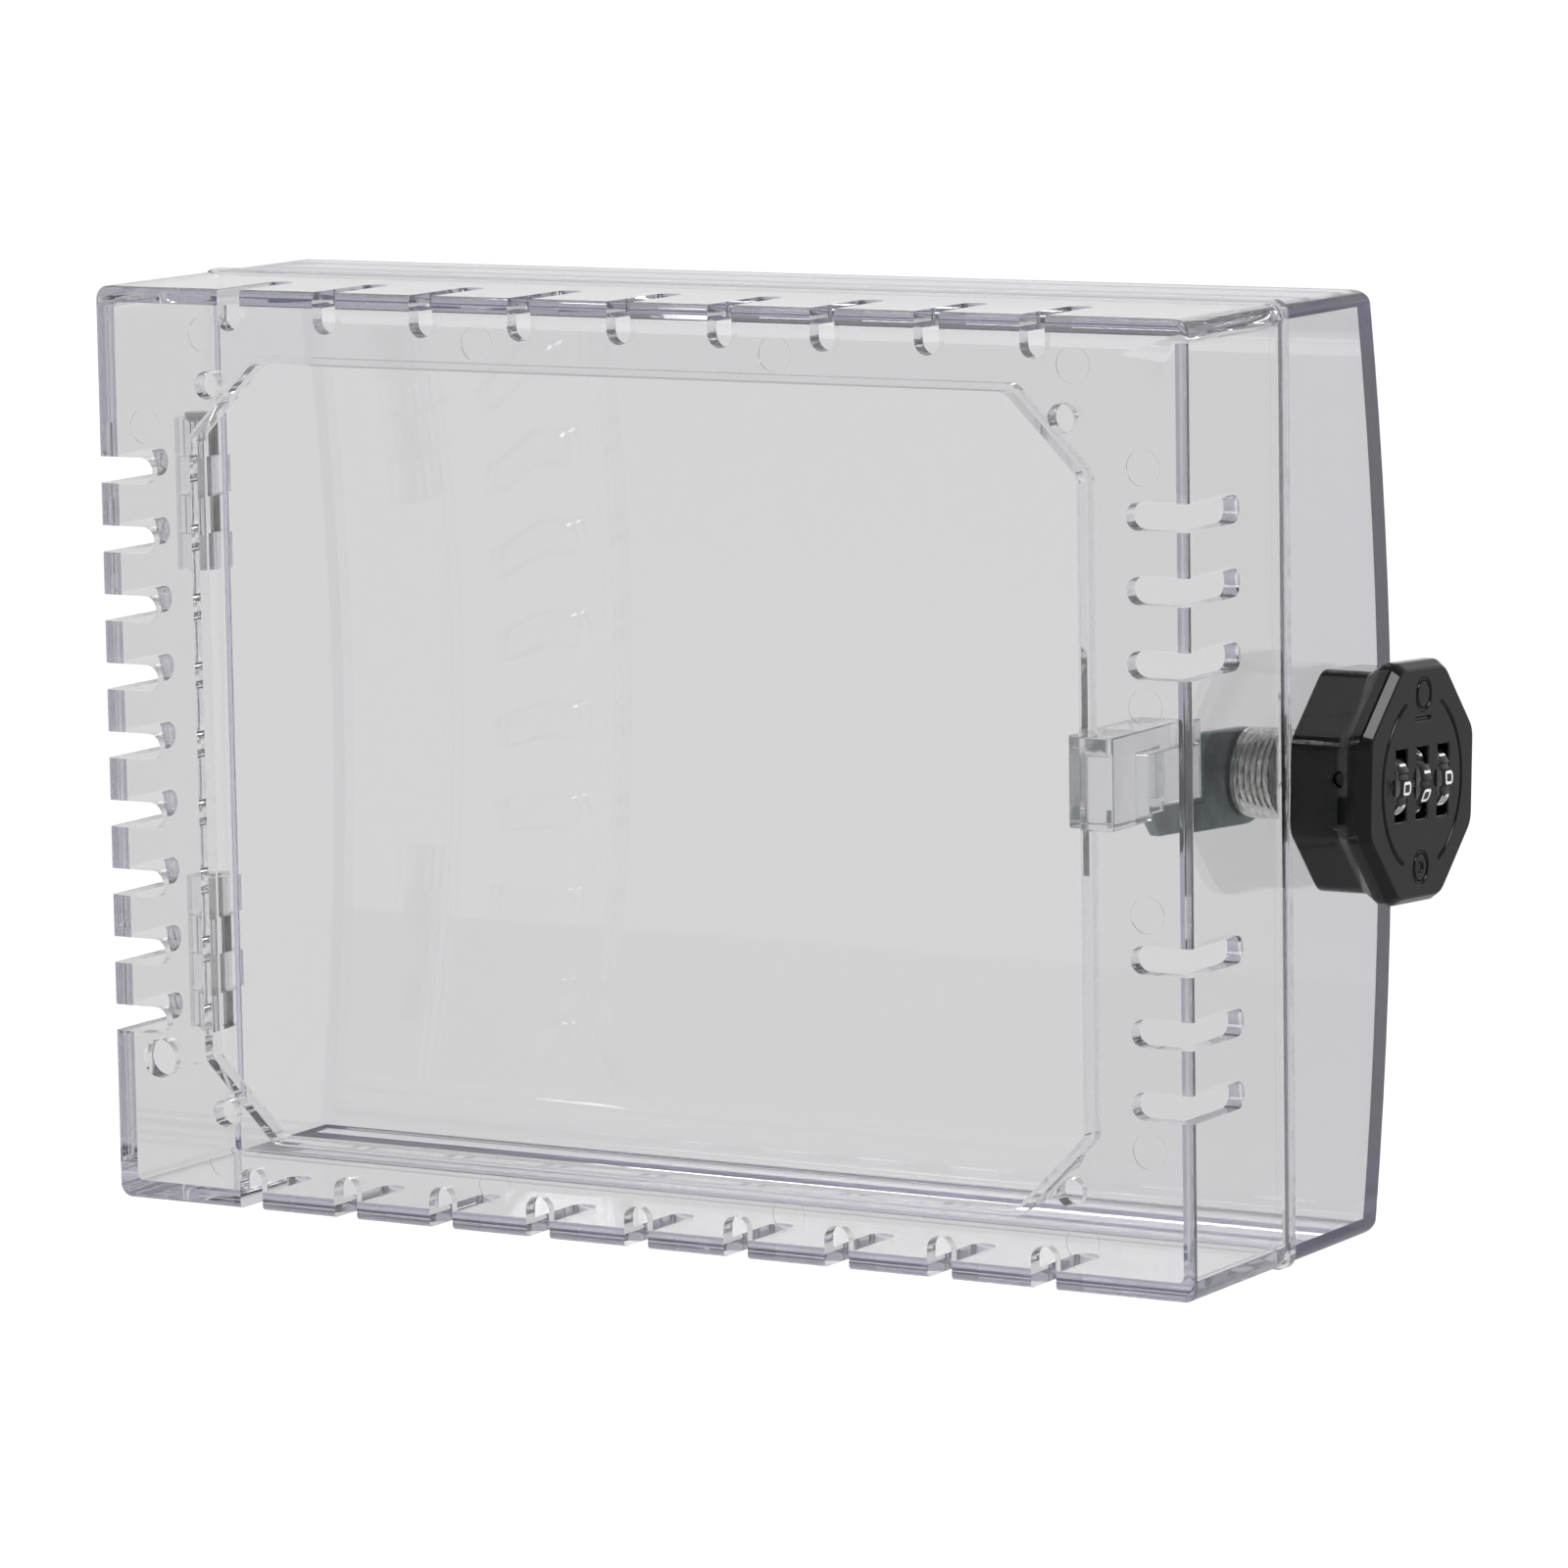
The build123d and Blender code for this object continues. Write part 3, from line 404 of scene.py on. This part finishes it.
def two_tones(tree, factor, dark, light, low=0.35, high=0.65):
    """A colour that runs from dark to light as factor goes from low to high."""
    ramp = tree.nodes.new("ShaderNodeValToRGB")
    ramp.color_ramp.elements[0].position = low
    ramp.color_ramp.elements[1].position = high
    ramp.color_ramp.elements[0].color = (*dark, 1)
    ramp.color_ramp.elements[1].color = (*light, 1)
    tree.links.new(factor, ramp.inputs[0])
    return ramp.outputs[0]


def finish_material(name, dark, light, relief_values, roughness, swing, cloud, metallic=0.0, specular=0.5):
    """An opaque finish: two close tones, roughness that swings from cloud to cloud, and a small relief."""
    material, tree, shader, _ = new_material(name)
    clouds = place_group(tree, cloudy_value, Base=roughness, Swing=swing, Cloud_size=cloud, Dust=0.08)
    relief = place_group(tree, surface_normal, **relief_values)
    tree.links.new(two_tones(tree, clouds.outputs["Cloud"], dark, light), shader.inputs["Base Color"])
    tree.links.new(clouds.outputs["Value"], shader.inputs["Roughness"])
    tree.links.new(relief.outputs["Normal"], shader.inputs["Normal"])
    shader.inputs["Metallic"].default_value = metallic
    shader.inputs["Specular IOR Level"].default_value = specular
    return material


# %% [markdown]
# ## Clear plastic
#
# The box is moulded in clear polycarbonate. Light bends in it (index 1.585) and loses a little on
# the way, blue least of all, so thin walls look colourless and the long way along an edge looks blue.
# A glass shader on the surface and an absorption in the volume give both. Real mouldings also
# scatter a little light at every surface. The transmission weight just under 1 does that: it keeps
# light that is caught in a wall from turning black and makes the edges milky blue-grey. The keeper is
# a small thick block, so it has a milkier and slightly rough surface and hardly any loss inside.

# %% Clear plastic
PLASTIC_INDEX = 1.585
PLASTIC_WAVE = 0.03


def clear_plastic(name, tint, depth_colour, density, wave_height, clear=0.975, roughness=0.0):
    """Clear moulded plastic. density says how soon depth_colour takes over inside, in 1/m."""
    material, tree, shader, out = new_material(name)
    relief = place_group(tree, surface_normal, Wave_size=PLASTIC_WAVE, Wave_height=wave_height)
    shader.inputs["Base Color"].default_value = (*tint, 1)
    shader.inputs["Transmission Weight"].default_value = clear
    shader.inputs["IOR"].default_value = PLASTIC_INDEX
    shader.inputs["Roughness"].default_value = roughness
    tree.links.new(relief.outputs["Normal"], shader.inputs["Normal"])
    loss = tree.nodes.new("ShaderNodeVolumeAbsorption")
    loss.inputs["Color"].default_value = (*depth_colour, 1)
    loss.inputs["Density"].default_value = density
    tree.links.new(loss.outputs[0], out.inputs["Volume"])
    return material


base_clear = clear_plastic(
    "base_clear", tint=(0.962, 0.96, 0.962), depth_colour=(0.44, 0.45, 0.55),
    density=12.0, wave_height=0.00001,
)
cover_clear = clear_plastic(
    "cover_clear", tint=(0.948, 0.943, 0.948), depth_colour=(0.36, 0.34, 0.6),
    density=12.0, wave_height=0.00002,
)
keeper_clear = clear_plastic(
    "keeper_clear", tint=(0.985, 0.995, 1.0), depth_colour=(0.6, 0.74, 0.84),
    density=1.0, wave_height=0.00004, clear=0.91, roughness=0.07,
)
print("clear plastics:", base_clear.name, cover_clear.name, keeper_clear.name)

# %% [markdown]
# ## Black plastic and metals
#
# The knob is glossy black ABS with the slight orange peel of a polished mould. The barrel is bright
# nickel plate, the cam is zinc plate with a blue-green cast, and the hinge pins are plain drawn
# steel. Each finish has its own tone pair and roughness. All plastics share one relief, and so do all
# metals.

# %% Black plastic
PLASTIC_PEEL = {
    "Wave_size": 0.0022, "Wave_height": 0.0000016,
    "Grain_size": 0.0004, "Grain_height": 0.0000006,
    "Scratch_height": 0.0000012,
}
knob_black = finish_material(
    "knob_black", (0.001, 0.001, 0.0012), (0.0024, 0.0024, 0.0026), PLASTIC_PEEL,
    roughness=0.09, swing=0.06, cloud=0.006, specular=0.33,
)
dial_black = finish_material(
    "dial_black", (0.006, 0.006, 0.007), (0.012, 0.012, 0.013), PLASTIC_PEEL,
    roughness=0.3, swing=0.15, cloud=0.003, specular=0.4,
)
# Painted highlight: the wheels' flat sides are a grey copy of the black wheel plastic, for the light that
# falls on them.
dial_flank = finish_material(
    "dial_flank", (0.13, 0.13, 0.14), (0.2, 0.2, 0.21), PLASTIC_PEEL,
    roughness=0.45, swing=0.15, cloud=0.002,
)
digit_white = finish_material(
    "digit_white", (0.72, 0.73, 0.74), (0.86, 0.87, 0.88), PLASTIC_PEEL,
    roughness=0.5, swing=0.1, cloud=0.001,
)
inner_black = finish_material(
    "inner_black", (0.012, 0.012, 0.013), (0.03, 0.03, 0.032), PLASTIC_PEEL,
    roughness=0.5, swing=0.2, cloud=0.004,
)
print("plastics:", knob_black.name, dial_black.name, dial_flank.name, digit_white.name, inner_black.name)

# %% Metals
METAL_GRAIN = {
    "Wave_size": 0.004, "Wave_height": 0.000004,
    "Grain_size": 0.00025, "Grain_height": 0.000004,
    "Scratch_height": 0.000002,
}
nickel = finish_material(
    "nickel", (0.66, 0.65, 0.63), (0.92, 0.91, 0.89), METAL_GRAIN,
    roughness=0.13, swing=0.12, cloud=0.003, metallic=1.0,
)
zinc = finish_material(
    "zinc", (0.11, 0.148, 0.158), (0.22, 0.275, 0.292), METAL_GRAIN,
    roughness=0.32, swing=0.2, cloud=0.006, metallic=0.85,
)
steel = finish_material(
    "steel", (0.34, 0.33, 0.32), (0.52, 0.51, 0.49), METAL_GRAIN,
    roughness=0.32, swing=0.2, cloud=0.003, metallic=1.0,
)
spring_steel = finish_material(
    "spring_steel", (0.42, 0.42, 0.43), (0.58, 0.58, 0.6), METAL_GRAIN,
    roughness=0.28, swing=0.15, cloud=0.003, metallic=1.0,
)
brass = finish_material(
    "brass", (0.55, 0.40, 0.16), (0.70, 0.54, 0.26), METAL_GRAIN,
    roughness=0.3, swing=0.2, cloud=0.003, metallic=1.0,
)
print("metals:", nickel.name, zinc.name, steel.name, spring_steel.name, brass.name)

# %% [markdown]
# ## Pieces that stay as they are
#
# The pieces inside the knob, the small turned ones behind it and the reset pin are dressed as the CAD
# model has them, because their solids already have every form that shows.


# %% Pieces that keep their CAD shape
def dress(node, material):
    """Gives a CAD node one material, without touching its shape."""
    mesh = nodes[node].data
    mesh.materials.clear()
    mesh.materials.append(material)


CARRIED = {
    "retaining_washer": spring_steel, "spindle": steel, "cam_screw": steel, "cam_washer": steel,
    "knob_screw_left": steel, "knob_screw_right": steel, "dial_axle": steel, "lock_bar": steel,
    "lock_bar_spring": spring_steel, "detent_spring": spring_steel, "dial_sleeve_1": brass,
    "dial_sleeve_2": brass, "dial_sleeve_3": brass, "knob_back": inner_black, "reset_pin": inner_black,
}
for node, material in CARRIED.items():
    dress(node, material)
print("carried over:", len(CARRIED))

# %% [markdown]
# ## Softened copies of the moulded and cut pieces
#
# A moulding has no truly sharp edge, and it is the small rounding that catches the light. The CAD
# mesh is loose triangles, so a copy is joined, its flat faces are made one, and a Bevel modifier
# rounds every edge that turns more than a set angle. The copy replaces the CAD node on screen. The
# clear tray and shell get no Bevel, because their outer edges are already round in the solids. Light
# goes through wide flat faces, and plain smooth normals would bend it, so a Weighted Normal modifier
# keeps each face flat. The keeper is bonded to the plate. Two clear solids that share a face confuse
# the light, so the keeper's copy is a hair smaller all round.

# %% Helpers for finished pieces
JOIN_WITHIN = 2e-6
FLAT_WITHIN = math.radians(0.3)
AREA_WEIGHT = 100


def settle(piece, node):
    """Links a finished piece and lets it ride on the node's body."""
    scene.collection.objects.link(piece)
    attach(piece, body_of[node])


def shrink(mesh, amount):
    """Every vertex moved inwards along its normal by amount millimetres."""
    places = np.empty(len(mesh.vertices) * 3)
    normals = np.empty(len(mesh.vertices) * 3)
    mesh.vertices.foreach_get("co", places)
    mesh.vertices.foreach_get("normal", normals)
    mesh.vertices.foreach_set("co", places - normals * amount * MM)
    mesh.update()


def joined_copy(node, name):
    """The node's mesh with its points joined and its flat faces made one, and its number of open edges."""
    mesh = nodes[node].data.copy()
    mesh.name = name
    work = bmesh.new()
    work.from_mesh(mesh)
    bmesh.ops.remove_doubles(work, verts=work.verts, dist=JOIN_WITHIN)
    bmesh.ops.dissolve_limit(work, angle_limit=FLAT_WITHIN, verts=work.verts, edges=work.edges)
    open_edges = sum(1 for edge in work.edges if not edge.is_manifold)
    work.to_mesh(mesh)
    work.free()
    return mesh, open_edges


def smooth_between_edges(mesh, turn):
    """Smooth shading on every face, kept apart at edges that turn more than turn degrees."""
    mesh.polygons.foreach_set("use_smooth", np.ones(len(mesh.polygons), dtype=bool))
    mesh.set_sharp_from_angle(angle=math.radians(turn))


def round_edges(piece, rounding, turn):
    """A Bevel modifier, rounding millimetres wide, on edges that turn more than turn degrees."""
    bevel = piece.modifiers.new("rounding", "BEVEL")
    bevel.width = rounding * MM
    bevel.segments = 2
    bevel.limit_method = "ANGLE"
    bevel.angle_limit = math.radians(turn)
    bevel.use_clamp_overlap = False


print("copies join points within", JOIN_WITHIN / MM, "mm")


# %% Softened copies
def softened_copy(name, node, material, rounding=0.0, turn=35.0, inwards=0.0):
    """A copy that takes the node's place, with rounded edges and flat faces, and smaller by inwards mm."""
    mesh, open_edges = joined_copy(node, name)
    if inwards > 0:
        shrink(mesh, inwards)
    mesh.materials.clear()
    mesh.materials.append(material)
    mesh.polygons.foreach_set("material_index", np.zeros(len(mesh.polygons), dtype=np.int32))
    smooth_between_edges(mesh, turn)
    piece = bpy.data.objects.new(name, mesh)
    settle(piece, node)
    if rounding > 0:
        round_edges(piece, rounding, turn)
    flat_faces = piece.modifiers.new("flat_faces", "WEIGHTED_NORMAL")
    flat_faces.weight = AREA_WEIGHT
    flat_faces.keep_sharp = True
    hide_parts(node)
    print(name, "faces", len(mesh.polygons), "open edges", open_edges)


softened_copy("clear_base_tray", "base_tray", base_clear, turn=25.0)
softened_copy("clear_cover_shell", "cover_shell", cover_clear, turn=25.0)
softened_copy("clear_keeper_block", "latch_keeper", keeper_clear, rounding=0.3, inwards=0.05)
softened_copy("zinc_cam", "cam_plate", zinc, rounding=0.3)
softened_copy("knob_sleeve", "knob_body", knob_black, rounding=0.3)
softened_copy("knob_front", "knob_bezel", knob_black, rounding=0.25)
softened_copy("upper_pin", "hinge_pin_upper", steel, rounding=0.25, turn=40.0)
softened_copy("lower_pin", "hinge_pin_lower", steel, rounding=0.25, turn=40.0)

# %% [markdown]
# ## Threaded barrel
#
# The barrel is one turned bar: a flange outside the wall, a neck with two flats, and a threaded end
# with a groove behind its last ring. A ridge swept along a helix would give a thread too, but it would
# have to be joined to the bar all along. So the radius is a function of the way along the profile and
# of the angle, and the whole surface is one grid closed both ways. The thread is a triangle wave, cut
# flat at crest and root, whose phase moves by one pitch in each turn. The barrel lies on the axis of
# the joint that turns the knob. All its sizes are in millimetres.

# %% Surfaces worked out on a grid
MERGE_WITHIN = 1e-7
NOT_ZERO = 1e-9


def grid_mesh(name, x, y, z):
    """A mesh of quads on a grid of points in millimetres, whose last row and column join the first."""
    rows, columns = x.shape
    index = np.arange(rows * columns).reshape(rows, columns)
    index = np.pad(index, (0, 1), mode="wrap")
    corners = (index[:-1, :-1], index[:-1, 1:], index[1:, 1:], index[1:, :-1])
    quads = np.stack(corners, axis=-1).reshape(-1, 4)
    points = np.stack([x, y, z], axis=-1).reshape(-1, 3) * MM
    mesh = bpy.data.meshes.new(name)
    mesh.from_pydata(points.tolist(), [], quads.tolist())
    return mesh


def finish_piece(name, mesh, node, materials, turn, replaces=True):
    """Outward normals, smooth faces with sharp edges over turn degrees, materials, body, and the node hidden
    if replaces.
    """
    work = bmesh.new()
    work.from_mesh(mesh)
    bmesh.ops.remove_doubles(work, verts=work.verts, dist=MERGE_WITHIN)
    bmesh.ops.recalc_face_normals(work, faces=work.faces)
    work.to_mesh(mesh)
    work.free()
    for material in materials:
        mesh.materials.append(material)
    smooth_between_edges(mesh, turn)
    piece = bpy.data.objects.new(name, mesh)
    settle(piece, node)
    if replaces:
        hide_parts(node)
    print(name, "faces", len(mesh.polygons))


print("grids merge points within", MERGE_WITHIN / MM, "mm")

# %% Barrel sizes
# FLANGE_FRONT, WALL_OUTSIDE, THREAD_START and BARREL_END are places on X. NECK_STOP and THREAD_LEAD
# count back from THREAD_START. THREAD_STOP, the groove and the ring count back from BARREL_END. What
# is called a drop or a taper is taken off the radius. ARC_MIDDLE says how far in from both sides the
# middle of a quarter round lies, as a share of its radius.
LOCK_Y = joint_place["lock_turn"][1] / MM
LOCK_Z = joint_place["lock_turn"][2] / MM
BORE = 3.83
BARREL_RADIUS = 7.9
BARREL_SIDES = 180
FLAT_FROM_AXIS = 4.9
FLANGE_RADIUS = 11.5
FLANGE_EDGE = 0.3
ARC_MIDDLE = 0.3
FLANGE_FRONT = -111.1
WALL_OUTSIDE = -109.65
THREAD_START = -99.85
NECK_STOP = 0.12
THREAD_LEAD = 0.02
THREAD_LEAD_DROP = 0.3
THREAD_PITCH = 1.17
THREAD_DEPTH = 0.55
THREAD_STEEPNESS = 1.3
THREAD_ROOT_CUT = 0.12
THREAD_STEP = 0.07
BARREL_END = -92.1
THREAD_STOP = 1.35
GROOVE_START = 1.3
GROOVE_STOP = 0.95
GROOVE_DROP = 0.45
RING_START = 0.9
RING_TAPER = 0.1
END_CHAMFER = 0.25
END_CHAMFER_DROP = 0.35
print("barrel from", FLANGE_FRONT, "to", BARREL_END, "mm, on the axis", round(LOCK_Y, 3), round(LOCK_Z, 3))

# %% Threaded barrel
ROUND = 0
FLATTED = 1
THREADED = 2


def barrel_rows():
    """Rows along the profile as (x, radius, kind), from the bore at the flange to the bore at the end."""
    soft = FLANGE_EDGE * ARC_MIDDLE
    flange = [
        (FLANGE_FRONT, BORE, ROUND),
        (FLANGE_FRONT, FLANGE_RADIUS - FLANGE_EDGE, ROUND),
        (FLANGE_FRONT + soft, FLANGE_RADIUS - soft, ROUND),
        (FLANGE_FRONT + FLANGE_EDGE, FLANGE_RADIUS, ROUND),
        (WALL_OUTSIDE, FLANGE_RADIUS, ROUND),
    ]
    neck = [
        (WALL_OUTSIDE, BARREL_RADIUS, FLATTED),
        (THREAD_START - NECK_STOP, BARREL_RADIUS, FLATTED),
        (THREAD_START - THREAD_LEAD, BARREL_RADIUS - THREAD_LEAD_DROP, ROUND),
    ]
    thread_x = np.arange(THREAD_START, BARREL_END - THREAD_STOP, THREAD_STEP)
    thread = [(x, BARREL_RADIUS, THREADED) for x in thread_x]
    end = [
        (BARREL_END - GROOVE_START, BARREL_RADIUS - GROOVE_DROP, ROUND),
        (BARREL_END - GROOVE_STOP, BARREL_RADIUS - GROOVE_DROP, ROUND),
        (BARREL_END - RING_START, BARREL_RADIUS - RING_TAPER, ROUND),
        (BARREL_END - END_CHAMFER, BARREL_RADIUS - RING_TAPER / 2, ROUND),
        (BARREL_END, BARREL_RADIUS - END_CHAMFER_DROP, ROUND),
        (BARREL_END, BORE + END_CHAMFER, ROUND),
        (BARREL_END - END_CHAMFER, BORE, ROUND),
    ]
    return np.array(flange + neck + thread + end)


def thread_wave(phase):
    """Height from root 0 to crest 1: a triangle wave, cut flat at the crest and at the root."""
    triangle = np.abs(2.0 * (phase - np.floor(phase)) - 1.0)
    return np.clip(triangle * THREAD_STEEPNESS - THREAD_ROOT_CUT, 0.0, 1.0)


def build_barrel():
    """Radius = row radius, cut by the flats in the neck, and lowered by the thread in the end."""
    along, radius, kind = barrel_rows().T[:, :, None]
    turn = np.linspace(0, 2 * np.pi, BARREL_SIDES + 1)[:-1]
    flats = FLAT_FROM_AXIS / np.maximum(np.abs(np.cos(turn)), NOT_ZERO)
    depth = THREAD_DEPTH * (1 - thread_wave(along / THREAD_PITCH - turn / (2 * np.pi)))
    radius = np.where(kind == FLATTED, np.minimum(radius, flats), radius)
    radius = np.where(kind == THREADED, radius - depth, radius)
    x = np.broadcast_to(along, radius.shape)
    y = LOCK_Y + radius * np.cos(turn)
    z = LOCK_Z + radius * np.sin(turn)
    return grid_mesh("threaded_barrel", x, y, z)


finish_piece("threaded_barrel", build_barrel(), "lock_barrel", [nickel], turn=40.0)

# %% [markdown]
# ## Number wheels
#
# Each wheel is a black ring with ten grip grooves between its ten digits. Its two flat sides are
# painted grey, a painted highlight for the light that falls on the sides of the black wheel. The
# ring is a grid again: a profile across the rim, carried round, with its radius lowered in the
# grooves. The digits are white print, and they lie on their side, as on the real lock. A font's
# digits would first need a mesh that is fine enough to bend round the rim. So they are drawn as pen
# strokes on a small grid, and a stroke is a strip of quads that follows the wheel, a hair above its
# rim. The wheels are built upright and then tilted with the knob.

# %% Wheel sizes
# GRIP_HALF is half the width of a groove, as an angle. GRIP_REACH and GRIP_WALL are shares of it: how
# far the groove's soft walls reach out, and how wide each wall is.
DIAL_X = joint_place["dial_turn_1"][0] / MM
DIAL_PITCH = 8.06
DIAL_WIDTH = 3.7
SLEEVE_RADIUS = 3.6
PRINT_RADIUS = 6.59
PRINT_LIFT = 0.04
RIM_EDGE = 0.5
RIM_BEVEL = 0.36
RIM_BEVEL_DROP = 0.46
RIM_EDGE_DROP = 0.06
WHEEL_SIDES = 720
TENTH = 2 * math.pi / 10
GRIP_HALF = math.radians(4.6)
GRIP_REACH = 1.35
GRIP_WALL = 0.5
GRIP_DEPTH = 0.45
# FLANK_FACING picks the flat sides that get the grey painted highlight.
FLANK_FACING = 0.95
REST_TURN = math.radians(3.2)
print("wheels on x =", round(DIAL_X, 3), "mm,", DIAL_PITCH, "mm apart")


# %% Wheel shape
def rim_profile():
    """Points from flank to flank as (way across, radius, share of the groove's depth)."""
    half = DIAL_WIDTH / 2
    rim = PRINT_RADIUS - PRINT_LIFT
    side = np.array([
        (half, SLEEVE_RADIUS, 0.0),
        (half, rim - RIM_BEVEL_DROP, 0.6),
        (half - RIM_BEVEL, rim - RIM_EDGE_DROP, 0.95),
        (half - RIM_EDGE, rim, 1.0),
    ])
    return np.vstack([side * [-1, 1, 1], side[::-1]])


def build_wheel(centre_y):
    """Radius = profile radius less the grooves, ten round the wheel, with walls that go as 3s^2 - 2s^3."""
    across, reach, share = rim_profile().T[:, :, None]
    turn = np.linspace(0, 2 * np.pi, WHEEL_SIDES + 1)[:-1]
    from_groove = np.abs(turn % TENTH - TENTH / 2)
    wall = np.clip((GRIP_HALF * GRIP_REACH - from_groove) / (GRIP_HALF * GRIP_WALL), 0, 1)
    dip = wall * wall * (3 - 2 * wall) * GRIP_DEPTH
    radius = reach - share * dip
    x = DIAL_X - radius * np.cos(turn)
    y = np.broadcast_to(centre_y + across, radius.shape)
    z = radius * np.sin(turn)
    return grid_mesh("wheel", x, y, z)


def paint_flank_light(mesh):
    """Material 1, a grey painted highlight, on the two flat sides: the faces that look along Y."""
    normals = np.empty(len(mesh.polygons) * 3)
    mesh.polygons.foreach_get("normal", normals)
    flank = np.abs(normals.reshape(-1, 3)[:, 1]) > FLANK_FACING
    mesh.polygons.foreach_set("material_index", flank.astype(np.int32))


def turn_mesh(mesh, angle, axis, place):
    """The mesh turned by angle about an axis letter that goes through place, which is in millimetres."""
    about = Matrix.Translation(Vector(place) * MM)
    mesh.transform(about @ Matrix.Rotation(angle, 4, axis) @ about.inverted())


print("rim profile:", len(rim_profile()), "points")

# %% Digits as pen strokes
DIGIT_HEIGHT = 2.75
DIGIT_WIDTH = 2.35
PEN = 0.5
BOX = [(-1, -1), (-1, 1), (1, 1), (1, -1), (-1, -1)]
STROKES = {
    0: [BOX],
    1: [[(0, 1), (0, -1)]],
    2: [[(-1, 1), (1, 1), (1, 0), (-1, 0), (-1, -1), (1, -1)]],
    3: [[(-1, 1), (1, 1), (1, -1), (-1, -1)], [(-0.4, 0), (1, 0)]],
    4: [[(-1, 1), (-1, 0), (1, 0)], [(1, 1), (1, -1)]],
    5: [[(1, 1), (-1, 1), (-1, 0.05), (1, 0.05), (1, -1), (-1, -1)]],
    6: [[(1, 1), (-1, 1), (-1, -1), (1, -1), (1, 0), (-1, 0)]],
    7: [[(-1, 1), (1, 1), (0, -1)]],
    8: [BOX, [(-1, 0), (1, 0)]],
    9: [[(-1, -1), (1, -1), (1, 1), (-1, 1), (-1, 0), (1, 0)]],
}
print("digits:", len(STROKES), "of", DIGIT_HEIGHT, "by", DIGIT_WIDTH, "mm")

# %% From strokes to strips
POINTS_APART = 1e-4


def rounded_path(points, radius=0.5, samples=5):
    """A line of strokes in millimetres, with each corner replaced by a short quadratic curve."""
    corners = np.array(points, dtype=float) * [(DIGIT_WIDTH - PEN) / 2, (DIGIT_HEIGHT - PEN) / 2]
    closed = np.allclose(corners[0], corners[-1])
    if closed:
        middle = (corners[0] + corners[1]) / 2
        corners = np.vstack([middle, corners[1:], middle])
    path = [corners[:1]]
    for before, corner, after in zip(corners[:-2], corners[1:-1], corners[2:]):
        cut = min(radius, np.linalg.norm(before - corner) / 2, np.linalg.norm(after - corner) / 2)
        start = corner + (before - corner) / np.linalg.norm(before - corner) * cut
        end = corner + (after - corner) / np.linalg.norm(after - corner) * cut
        t = np.linspace(0, 1, samples)[:, None]
        path.append((1 - t) ** 2 * start + 2 * t * (1 - t) * corner + t ** 2 * end)
    path.append(corners[-1:])
    path = np.vstack(path)
    keep = np.r_[True, np.linalg.norm(np.diff(path, axis=0), axis=1) > POINTS_APART]
    return path[keep], closed


def densify(path, step=0.15):
    """The same line with points every step or less, by length along it."""
    length = np.r_[0, np.cumsum(np.linalg.norm(np.diff(path, axis=0), axis=1))]
    at = np.linspace(0, length[-1], max(int(length[-1] / step) + 1, 2))
    at = np.unique(np.r_[at, length])
    return np.stack([np.interp(at, length, path[:, 0]), np.interp(at, length, path[:, 1])], axis=-1)


def ribbon(path, closed):
    """Left edge, middle and right edge of a pen line: the path moved half a pen width to each side."""
    line = densify(path)
    ahead = np.gradient(line, axis=0)
    if closed:
        ahead[0] = ahead[-1] = line[1] - line[-2]
    ahead /= np.maximum(np.linalg.norm(ahead, axis=1, keepdims=True), NOT_ZERO)
    side = np.stack([-ahead[:, 1], ahead[:, 0]], axis=-1) * PEN / 2
    return np.stack([line + side, line, line - side], axis=0)


def digit_mesh(turn_of_zero, centre_y):
    """All ten digits, lying down: height along Y, width round the rim, each on its tenth of the wheel."""
    points, faces, count = [], [], 0
    for digit, strokes in STROKES.items():
        middle = turn_of_zero + digit * TENTH
        for stroke in strokes:
            strip = ribbon(*rounded_path(stroke))
            angle = middle - strip[..., 0] / PRINT_RADIUS
            x = DIAL_X - PRINT_RADIUS * np.cos(angle)
            y = centre_y - strip[..., 1]
            z = PRINT_RADIUS * np.sin(angle)
            points.append(np.stack([x, y, z], axis=-1).reshape(-1, 3) * MM)
            index = count + np.arange(angle.size).reshape(angle.shape)
            corners = (index[:-1, :-1], index[1:, :-1], index[1:, 1:], index[:-1, 1:])
            faces.append(np.stack(corners, axis=-1).reshape(-1, 4))
            count += angle.size
    mesh = bpy.data.meshes.new("digits")
    mesh.from_pydata(np.vstack(points).tolist(), [], np.vstack(faces).tolist())
    return mesh


# %% [markdown]
# ## Three wheels
#
# The three wheels differ only in their place and in how far each is turned, in degrees, which is read
# from the photograph. The outer two stand almost square in their windows, and the middle one is about
# half way between two digits. The digits are a piece of their own on each wheel's body, so they add
# to the wheel and replace nothing.

# %% Three wheels
ZERO_TURN = {1: -3.5, 2: -19.5, 3: 3.0}

for number, degrees in ZERO_TURN.items():
    node = "dial_%d" % number
    zero = math.radians(degrees)
    centre_y = LOCK_Y + DIAL_PITCH * (2 - number)
    wheel = build_wheel(centre_y)
    turn_mesh(wheel, zero, "Y", (DIAL_X, 0, 0))
    # The flat sides get the grey painted highlight.
    paint_flank_light(wheel)
    digits = digit_mesh(zero, centre_y)
    turn_mesh(wheel, REST_TURN, "X", (0, LOCK_Y, LOCK_Z))
    turn_mesh(digits, REST_TURN, "X", (0, LOCK_Y, LOCK_Z))
    finish_piece("number_wheel_%d" % number, wheel, node, [dial_black, dial_flank], turn=35.0)
    finish_piece("digits_%d" % number, digits, node, [digit_white], turn=60.0, replaces=False)
